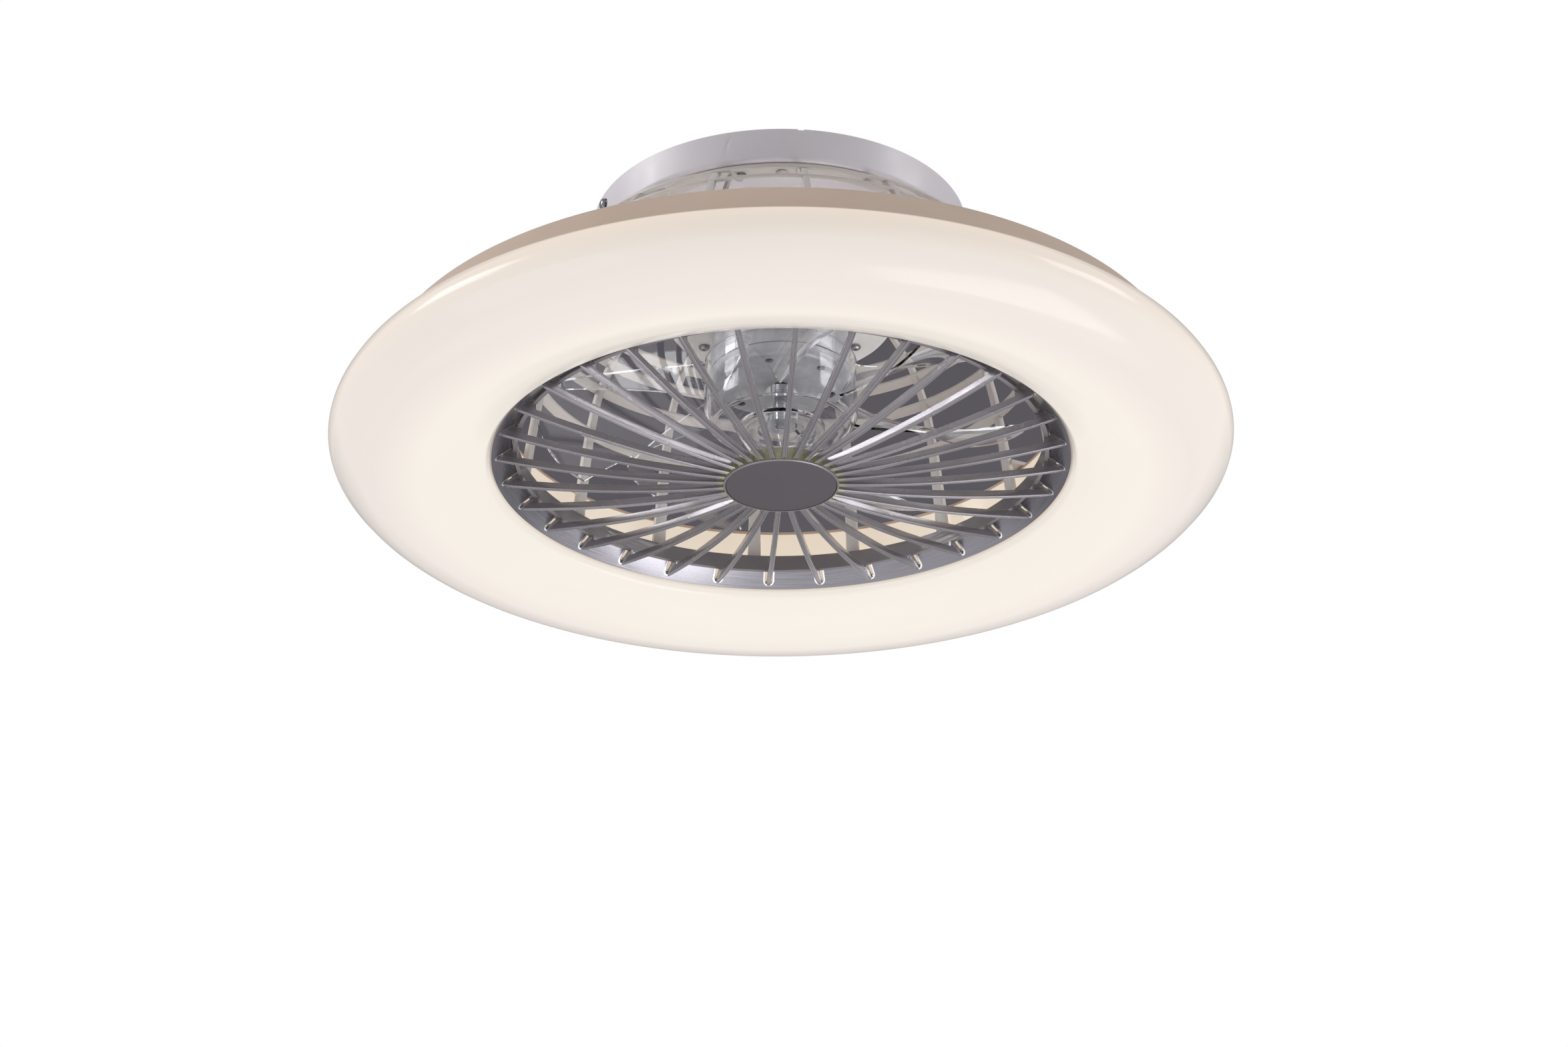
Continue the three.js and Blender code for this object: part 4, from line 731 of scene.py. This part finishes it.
def cross_screw(shank, length, head, point_up=True):
    """A pan-head screw with a cross recess, its head's seat at level 0."""
    tall = 1.2 * shank
    body = turned(
        [
            (0, length),
            (0.55 * shank, length),
            (shank, length - shank),
            (shank, 0),
            (head, 0, 0.2),
            (head, -0.3 * tall, 0.3),
            (0.72 * head, -tall, 0.5 * tall),
            (0, -tall),
        ],
        40,
        False,
    )
    # The cross: two bars through the head, narrowed towards the recess's floor.
    across = bar(-0.5 * head, 0.5 * head, 0.2 * head, -1.6 * tall, -0.45 * tall)
    arms = joined(across.copy(), swung(across, 90))
    for v in arms.verts:
        if v.co.z > -0.5 * tall * MM:
            v.co.x *= 0.45
            v.co.y *= 0.45
    screw = worked(body, swung(arms, 20))
    return screw if point_up else swung(screw, 180, "X")


def fastener_set(
    name, count, first, radius, level, size, point_up=True, slot="screw_steel"
):
    """Equal screws round the axis, each in the place of its CAD node.

    The size is the shank's radius, its length and the head's radius.
    """
    for i in range(count):
        screw = moved(cross_screw(*size, point_up), radius, 0, level)
        screw = swung(screw, first + i * 360 / count)
        piece(f"{name}_driven_{i + 1}", screw, slot, f"{name}_{i + 1}")


for i in range(SIDE_SCREWS):
    upright = cross_screw(2, 9.2, 4)
    lying = moved(swung(upright, -90, "Y"), SIDE_SCREW_SEAT, 0, SIDE_SCREW_Z)
    placed = swung(lying, SIDE_SCREW_TURN + i * 360 / SIDE_SCREWS)
    piece(
        f"canopy_screw_driven_{i + 1}", placed, "screw_steel", f"canopy_screw_{i + 1}"
    )
fastener_set(
    "housing_bolt", 3, POST_TURN, POST_CIRCLE, level=-76.35, size=(2, 58.2, 3.8)
)
fastener_set(
    "cage_screw",
    3,
    POST_TURN,
    FLANGE_SCREW_CIRCLE,
    level=-27.2,
    size=(2, 9, 3.8),
    slot="cage_grey",
)
fastener_set(
    "motor_bolt",
    3,
    0,
    MOTOR_BOLT_CIRCLE,
    level=-73.45,
    size=(2, 6.7, 4),
    point_up=False,
)
fastener_set(
    "lamp_screw",
    4,
    LUG_TURN,
    LUG_CIRCLE,
    level=-137.7,
    size=(2, 8, 3.8),
    point_up=False,
)


# ---------------------------------------------------------------- motor


def motor_upper():
    """The can over the motor, with the seat of the upper bearing."""
    shell = turned(
        [
            (6, -76.35),
            (46.5, -76.35, 5),
            (46.5, -114.35, 0.4),
            (44.7, -114.35, 0.3),
            (44.7, -81.15, 2),
            (13.15, -81.15),
            (13.15, -85.15),
            (11.35, -85.15),
            (11.35, -78.15),
            (6, -78.15),
        ],
        SMALL,
    )
    bolts = ring_of(lambda: peg(SCREW_HOLE, -83, -75, MOTOR_BOLT_CIRCLE), 3)
    return worked(shell, bolts)


def motor_lower():
    """The cover under the motor, with its air holes and the lower bearing's seat."""
    shell = turned(
        [
            (6, -123.35),
            (46.5, -123.35, 5),
            (46.5, -114.7, 0.4),
            (44.7, -114.7, 0.3),
            (44.7, -121.55, 2),
            (13.15, -121.55),
            (13.15, -114.6),
            (11.35, -114.6),
            (11.35, -121.55),
            (6, -121.55),
        ],
        SMALL,
    )
    air_holes = ring_of(lambda: peg(3, -125, -119, 36), 6, 18)
    return worked(shell, air_holes)


piece("motor_upper_half", motor_upper(), "motor_metal", "motor_can")
piece("motor_lower_half", motor_lower(), "motor_metal", "motor_cover")


# ---------------------------------------------------------------- clear impeller

BLADES = 7
BLADE_TURN = 27  # degrees to the first blade
BLADE_ROOT = 50.4
BLADE_TIP = 167
BLADE_THICKNESS = 1.8
BLADE_SWEEP = 12  # degrees that the tip trails the root
TIP_CORNER = 14  # how far the tip's corners are drawn in
BLADE_SPREAD = (30, 34)  # degrees that it spans at the root and at the tip
BLADE_LOW = (-148, -158)  # level of its lower edge at the root and at the tip
BLADE_HIGH = (-112, -128)
BLADE_BULGE = 4  # how far its middle stands up at the tip


def blade():
    """A clear blade: a flat sheet bent so that it climbs round the axis."""
    bm = bmesh.new()
    bmesh.ops.create_grid(bm, x_segments=28, y_segments=20, size=0.5)
    for v in bm.verts:
        along = v.co.x + 0.5
        across = v.co.y
        reach = BLADE_TIP - TIP_CORNER * abs(2 * across) ** 3
        radius = between(along, BLADE_ROOT, reach)
        span, low, high = [
            between(along**0.7, *ends) for ends in (BLADE_SPREAD, BLADE_LOW, BLADE_HIGH)
        ]
        angle = math.radians(across * span - BLADE_SWEEP * along)
        bulge = BLADE_BULGE * along * (1 - 4 * across**2)
        level = between(across + 0.5, low, high) + bulge
        place = (radius * math.cos(angle), radius * math.sin(angle), level)
        v.co = [side * MM for side in place]
    bmesh.ops.recalc_face_normals(bm, faces=bm.faces)
    bm.normal_update()
    for v in bm.verts:
        v.co += v.normal * BLADE_THICKNESS / 2 * MM
    bmesh.ops.solidify(bm, geom=bm.faces[:], thickness=BLADE_THICKNESS * MM)
    return mended(bm)


def impeller():
    """The clear cup round the motor, with the boss on its floor, and the blades."""
    cup = turned(
        [
            (4.35, -155),
            (45.5, -155, 1.5),
            (51.5, -149, 3.5),
            (51.5, -106, 0.7),
            (49.3, -106, 0.7),
            (49.3, -146.8, 3),
            (45.5, -152.8, 1.5),
            (11, -152.8, 0.8),
            (11, -127.35),
            (4.35, -127.35),
        ],
        SMALL,
    )
    return gathered(cup, ring_of(blade, BLADES, BLADE_TURN))


def impeller_lock():
    """The clear cap under the cup, its underside in three steps."""
    return turned(
        [
            (0, -155.35),
            (29.5, -155.35, 0.3),
            (29.5, -158.35, 1),
            (23.5, -158.35, 0.4),
            (22.5, -157.35, 0.4),
            (15.5, -157.35, 0.4),
            (14.5, -156.35, 0.4),
            (0, -156.35),
        ],
        SMALL,
        False,
    )


piece("clear_impeller", impeller(), "clear_plastic", "impeller", "rotor")
piece("clear_lock_cap", impeller_lock(), "clear_plastic", "impeller_cap", "rotor")


# ---------------------------------------------------------------- cage

RIBS = 16
RIB_TURN = 6.3  # degrees to the first rib
RIB_TOP = -23.85
RIB_LENGTH = 149.15  # from the flange's top to the rib's foot
RIB_WIDTHS = (3, 9.7)  # at the top and at the foot
RIB_OUTER = [
    (122, -23.85),
    (123.4, -26.6),
    (148, -42, 7),
    (157, -54, 5),
    (167, -72, 9),
    (174, -100, 12),
    (179, -130, 14),
    (184, -166),
    (184, -173),
]
RIB_INNER = [
    (180, -173),
    (180, -165.4),
    (175, -129.4, 14),
    (170.1, -99, 12),
    (163.3, -73.6, 9),
    (153.7, -56.3, 5),
    (145.3, -45, 6),
    (120.3, -29, 2),
    (114, -26.6),
    (114, -23.85),
]


def rib():
    """A side view cut from sheet, widened towards the foot, its edges rounded."""
    bm = drawn_out(drawn(RIB_OUTER + RIB_INNER), 0, 1)
    for v in bm.verts:
        share = (RIB_TOP - v.co.z / MM) / RIB_LENGTH
        v.co.y = (v.co.y - 0.5 * MM) * between(share, *RIB_WIDTHS)
    return rounded(
        bm, lambda e: abs(e.verts[0].co.y - e.verts[1].co.y) < 0.5 * MM, 0.6, 2
    )


BANDS = [(148, -42), (157, -54), (167, -72), (174, -105)]  # outer radius and level


def band(radius, level):
    """A flat band whose inner edge lies higher than its outer one."""
    return turned(
        [
            (radius, level - 0.8, 0.4),
            (radius, level + 0.8, 0.4),
            (radius - 7, level + 3.8, 0.4),
            (radius - 7, level + 2.2, 0.4),
        ]
    )


def ring(inner, outer, low, high, edge):
    """A flat ring with rounded edges."""
    corners = [(inner, low), (outer, low), (outer, high), (inner, high)]
    return turned([(*corner, edge) for corner in corners])


def cage():
    """The ribs joined by four bands, the top flange, the foot ring and the lugs."""
    ribs = ring_of(rib, RIBS, RIB_TURN)
    bands = gathered(*[band(radius, level) for radius, level in BANDS])
    flange = ring(111, 123, -26.85, -23.85, 0.5)
    foot = ring(179.2, 186.2, -173, -166, 0.7)
    lugs = ring_of(
        lambda: rounded(bar(179, 200, 12, -141.05, -138.05), lambda e: True, 0.5, 2),
        4,
        LUG_TURN,
    )
    body = joined(ribs, bands, flange, foot, lugs)
    holes = gathered(
        ring_of(lambda: peg(SCREW_HOLE, -143, -136, LUG_CIRCLE), 4, LUG_TURN),
        ring_of(lambda: peg(SCREW_HOLE, -28, -22, FLANGE_SCREW_CIRCLE), 3, POST_TURN),
        swung(peg(LEAD_HOLE, -28, -22, LEAD_HOLE_CIRCLE, LEAD_OFFSET), LEAD_TURN),
    )
    return worked(body, holes)


piece("cage_moulding", cage(), "cage_grey", "cage")


# ---------------------------------------------------------------- light ring


DIFFUSER_WALL = 2.4


def pan():
    """The sheet pan over the boards: floor, ridge, outer slope and rim."""
    shell = turned(
        [
            (187.6, -143, 0.3),
            (187.6, -141.4, 0.6),
            (240, -141.4, 4),
            (260, -129.8, 5),
            (267.6, -131.2, 3),
            (288.4, -158.55, 0.3),
            (284.4, -158.55),
            (284.4, -162.9, 0.3),
            (282.8, -162.9, 0.3),
            (282.8, -156.95, 0.8),
            (266, -133, 2.5),
            (260, -131.4, 4),
            (241, -143, 3),
        ],
        FINE,
    )
    holes = ring_of(lambda: peg(SCREW_HOLE, -146, -138, LUG_CIRCLE), 4, LUG_TURN)
    grommet = swung(peg(4.35, -146, -138, 197, LEAD_OFFSET), LEAD_TURN)
    return worked(shell, gathered(holes, grommet))


def diffuser():
    """The opal shell: its line from the inner wall under and round to the seam."""
    bm = turned(
        [
            (188.2, -143.35),
            (193.4, -185.2, 1.2),
            (196.4, -189.4, 1.6),
            (211.8, -196.1, 7),
            (239.8, -203, 12.5),
            (267, -203, 11),
            (287, -195.6, 9.5),
            (300, -180.5, 4.8),
            (300, -170.8, 4.6),
            (294.9, -162.2, 2),
            (290, -158.9),
        ],
        FINE,
        False,
    )
    lowest = min(bm.faces, key=lambda f: f.calc_center_median().z)
    if lowest.normal.z > 0:
        bmesh.ops.reverse_faces(bm, faces=bm.faces)
    bmesh.ops.solidify(bm, geom=bm.faces[:], thickness=DIFFUSER_WALL * MM)
    return bm


piece("lamp_pan_pressing", pan(), "pan_beige", "lamp_pan")
piece("opal_shell", diffuser(), "opal", "diffuser")


# ---------------------------------------------------------------- grille

TIP_RADIUS = 188.5
TIP_LEVEL = -184
GRILLE_HUB = 38.6
SPOKE_START = 37.9
SPOKE_DIP = 14  # how far the hub end lies below the tips
TAPER_START = 165  # from here outwards the spoke grows narrower
TAPER = 0.22  # the share of its width that it has lost at its tip
NOSE_START = 185  # from here its end is rounded off
NOSE_LENGTH = 3.7
FIN_THICKNESS = 1.8
SPOKE_SECTION = [
    (-1.8, 5, 0.4),
    (-1.8, 0.15, 0.7),
    (-0.75, 0, 0.2),
    (-0.45, 0.6, 0.2),
    (0.45, 0.6, 0.2),
    (0.75, 0, 0.2),
    (1.8, 0.15, 0.7),
    (1.8, 5, 0.4),
]  # a bar with a groove along its underside
SPOKE_CUTS = [55, 72, 89, 106, 123, 140, 157, 172, 181, 185, 186.4, 187.4, 188.1]


def spoke_level(x):
    share = (x - GRILLE_HUB) / (TIP_RADIUS - GRILLE_HUB)
    return TIP_LEVEL - SPOKE_DIP * (1 - share * share)


def spoke():
    """A grooved bar, lowest at the hub and rounded at its end, with its fin."""
    section = swung(drawn(SPOKE_SECTION), 90)
    bm = drawn_out(section, TIP_RADIUS - SPOKE_START, 0)
    moved(bm, SPOKE_START, 0)
    for x in SPOKE_CUTS:
        bmesh.ops.bisect_plane(
            bm,
            geom=bm.verts[:] + bm.edges[:] + bm.faces[:],
            plane_co=(x * MM, 0, 0),
            plane_no=(1, 0, 0),
        )
    for v in bm.verts:
        x = v.co.x / MM
        taper = 1 - TAPER * max(0, x - TAPER_START) / (TIP_RADIUS - TAPER_START)
        past = min(max(0, x - NOSE_START) / NOSE_LENGTH, 1)
        v.co.y *= taper * math.sqrt(1 - past * past)
        v.co.z += spoke_level(x) * MM
    fin = drawn_out(
        drawn(
            [
                (175.6, spoke_level(175.6) + 1),
                (187.2, -182.6),
                (186.8, -180.4, 0.5),
                (179.6, -176.1, 1),
                (178.4, -175.5),
                (175.6, -175.5),
            ]
        ),
        0,
        FIN_THICKNESS,
    )
    return gathered(bm, moved(fin, 0, -FIN_THICKNESS / 2))


def grille():
    """The spokes, the collar over their tips and the hollow hub."""
    collar = ring(175.5, 178.5, -177.5, -166, 0.4)
    hub = turned(
        [
            (0, -190.7),
            (37.2, -190.7, 0.4),
            (37.2, -199.2, 0.1),
            (GRILLE_HUB, -199.3, 1.1),
            (GRILLE_HUB, -189.3, 0.6),
            (0, -189.3),
        ],
        MEDIUM,
        False,
    )
    return gathered(ring_of(spoke, SPOKES, SPOKE_TURN), collar, hub)


def hub_disc():
    """The disc in the hub, with the boss that stands up from it."""
    return turned(
        [
            (0, -198.9),
            (36.85, -198.9, 0.5),
            (36.85, -196.4, 0.3),
            (8, -196.4),
            (8, -191.65, 0.3),
            (0, -191.65),
        ],
        MEDIUM,
        False,
    )


def slot():
    """A slot with a round outer end, open towards the axis."""
    cutter = bar(176, SLOT_END, SLOT_WIDTH, -190, -170)
    return rounded(
        cutter,
        lambda e: min(v.co.x for v in e.verts) > (SLOT_END - 0.2) * MM
        and abs(e.verts[0].co.z - e.verts[1].co.z) > MM,
        2.8,
        8,
    )


def trim():
    """The sloping ring round the grille, its outer edge turned up, with its slots."""
    shell = turned(
        [
            (179.2, -175.9, 0.25),
            (192.6, -184.8, 0.4),
            (191.9, -179, 0.2),
            (190.4, -179, 0.2),
            (191.1, -181.8, 0.5),
            (179.2, -174.4, 0.25),
        ],
        FINE,
    )
    return worked(shell, ring_of(slot, SPOKES, SPOKE_TURN))


piece("grille_moulding", grille(), "grille_grey", "grille")
piece("hub_disc", hub_disc(), "dark_grey", "grille_cap")
piece("brushed_ring", trim(), "brushed_trim", "trim_ring")


# ---------------------------------------------------------------- other CAD nodes

CAD_FINISHES = {
    "zinc_sheet": ["ceiling_bracket", "mount_plate"],
    "driver_white": ["led_driver", "terminal_block"],
    "black_plastic": ["receiver_box"],
    "board_green": ["control_board"],
    "screw_steel": ["upper_bearing", "lower_bearing", "motor_shaft"],
    "lamination": ["stator_core", "rotor_core"],
    "copper": ["stator_windings"],
    "magnet": ["rotor_magnet"],
    "rubber_black": ["pan_grommet"],
    "cable_grey": ["light_lead"],
    "board_white": [f"led_board_{i}" for i in range(1, 5)],
}
for slot_name, names in CAD_FINISHES.items():
    for name in names:
        nodes[name].data.materials.clear()
        nodes[name].data.materials.append(FINISHES[slot_name])


# ---------------------------------------------------------------- stage and light


def stage_finish(name, colour):
    """A finish that the camera sees in its own colour, whatever light falls on it."""
    skin = Finish(name)
    skin.set("Base Color", colour)
    skin.set("Roughness", 0.9)
    seen = skin.node("ShaderNodeLightPath").outputs
    shown = skin.node("ShaderNodeEmission", {"Color": colour, "Strength": 1.0})
    chosen = skin.node("ShaderNodeMixShader", {"Fac": seen["Is Camera Ray"]})
    skin.wire(skin.shader.outputs[0], chosen.inputs[1])
    skin.wire(shown.outputs[0], chosen.inputs[2])
    skin.wire(chosen.outputs[0], skin.nodes["Material Output"].inputs["Surface"])
    return skin.material


def staged(name, bm, material):
    mesh = bpy.data.meshes.new(name)
    bm.to_mesh(mesh)
    bm.free()
    mesh.materials.append(material)
    obj = bpy.data.objects.new(name, mesh)
    scene.collection.objects.link(obj)
    return obj


FLOOR_LEVEL = -2.4
FLOOR_REACH = 20
floor = bmesh.new()
bmesh.ops.create_grid(floor, x_segments=1, y_segments=1, size=FLOOR_REACH)
bmesh.ops.translate(floor, vec=(0, 0, FLOOR_LEVEL), verts=floor.verts)
staged("floor", floor, stage_finish("floor_pale", tone(244, 243, 242)))


def painted_shade_ceiling():
    """A dark sheet of painted shade for the ceiling that shows between the spokes, seen
    only from below.
    """
    skin = Finish("ceiling_painted_shade")
    seen = skin.node("ShaderNodeNewGeometry").outputs["Backfacing"]
    clouds = skin.ramp(
        skin.noise(3, 2), [(0.3, tone(84, 80, 86)), (0.7, tone(95, 93, 99))]
    )
    shown = skin.node("ShaderNodeEmission", {"Color": clouds, "Strength": 1.0})
    gone = skin.node("ShaderNodeBsdfTransparent")
    chosen = skin.node("ShaderNodeMixShader", {"Fac": seen})
    skin.wire(shown.outputs[0], chosen.inputs[1])
    skin.wire(gone.outputs[0], chosen.inputs[2])
    skin.wire(chosen.outputs[0], skin.nodes["Material Output"].inputs["Surface"])
    return skin.material


# Painted shade: a dark disc behind the fan stands for the shaded ceiling.
PATCH_RADIUS = 0.24
PATCH_PLACE = (0, 0.362, 0.002)  # behind the fan in the photo's view
disc = bmesh.new()
bmesh.ops.create_circle(disc, cap_ends=True, radius=PATCH_RADIUS, segments=64)
bmesh.ops.translate(disc, vec=PATCH_PLACE, verts=disc.verts)
bmesh.ops.reverse_faces(disc, faces=disc.faces)
shade_sheet = staged("painted_shade_ceiling", disc, painted_shade_ceiling())
shade_sheet.visible_diffuse = False
shade_sheet.visible_shadow = False

world = bpy.data.worlds.new("studio")
scene.world = world
world.use_nodes = True
tree = world.node_tree
AIR_LIGHT = 0.42  # the level of the even light all round
tree.nodes["Background"].inputs["Color"].default_value = (0.97, 0.97, 1.0, 1)
tree.nodes["Background"].inputs["Strength"].default_value = AIR_LIGHT
white = tree.nodes.new("ShaderNodeBackground")
white.inputs["Color"].default_value = (1, 1, 1, 1)
white.inputs["Strength"].default_value = 1.0
path = tree.nodes.new("ShaderNodeLightPath").outputs
seen = tree.nodes.new("ShaderNodeMath")
seen.operation = "MAXIMUM"
tree.links.new(path["Is Camera Ray"], seen.inputs[0])
tree.links.new(path["Is Transmission Ray"], seen.inputs[1])
choice = tree.nodes.new("ShaderNodeMixShader")
tree.links.new(seen.outputs[0], choice.inputs["Fac"])
tree.links.new(tree.nodes["Background"].outputs[0], choice.inputs[1])
tree.links.new(white.outputs[0], choice.inputs[2])
tree.links.new(choice.outputs[0], tree.nodes["World Output"].inputs["Surface"])


FAN_SIDE = (0, 0, -0.05)  # what the upper lamps are aimed at
FAN_FACE = (0, 0, -0.18)  # and the lower ones


def softbox(name, place, aim, width, height, power):
    data = bpy.data.lights.new(name, "AREA")
    data.shape = "RECTANGLE"
    data.size = width
    data.size_y = height
    data.energy = power
    lamp = bpy.data.objects.new(name, data)
    scene.collection.objects.link(lamp)
    lamp.location = place
    view = Vector(aim) - Vector(place)
    lamp.rotation_euler = view.to_track_quat("-Z", "Y").to_euler()
    return lamp


softbox("key_left", (-2.2, -0.4, 0.9), FAN_SIDE, 1.0, 1.0, 26)
softbox("fill_right", (2.2, -0.6, 0.7), FAN_SIDE, 1.0, 1.0, 17)
softbox("below_left", (-1.6, -0.75, -1.5), FAN_FACE, 1.5, 0.8, 5)
softbox("below_right", (1.0, 0.05, -1.9), FAN_FACE, 1.1, 1.3, 18)
bounce = softbox("bounce", (0, 0, -2.35), CENTRE, 4.0, 4.0, 27)
bounce.visible_camera = False

scene.view_settings.view_transform = "Standard"
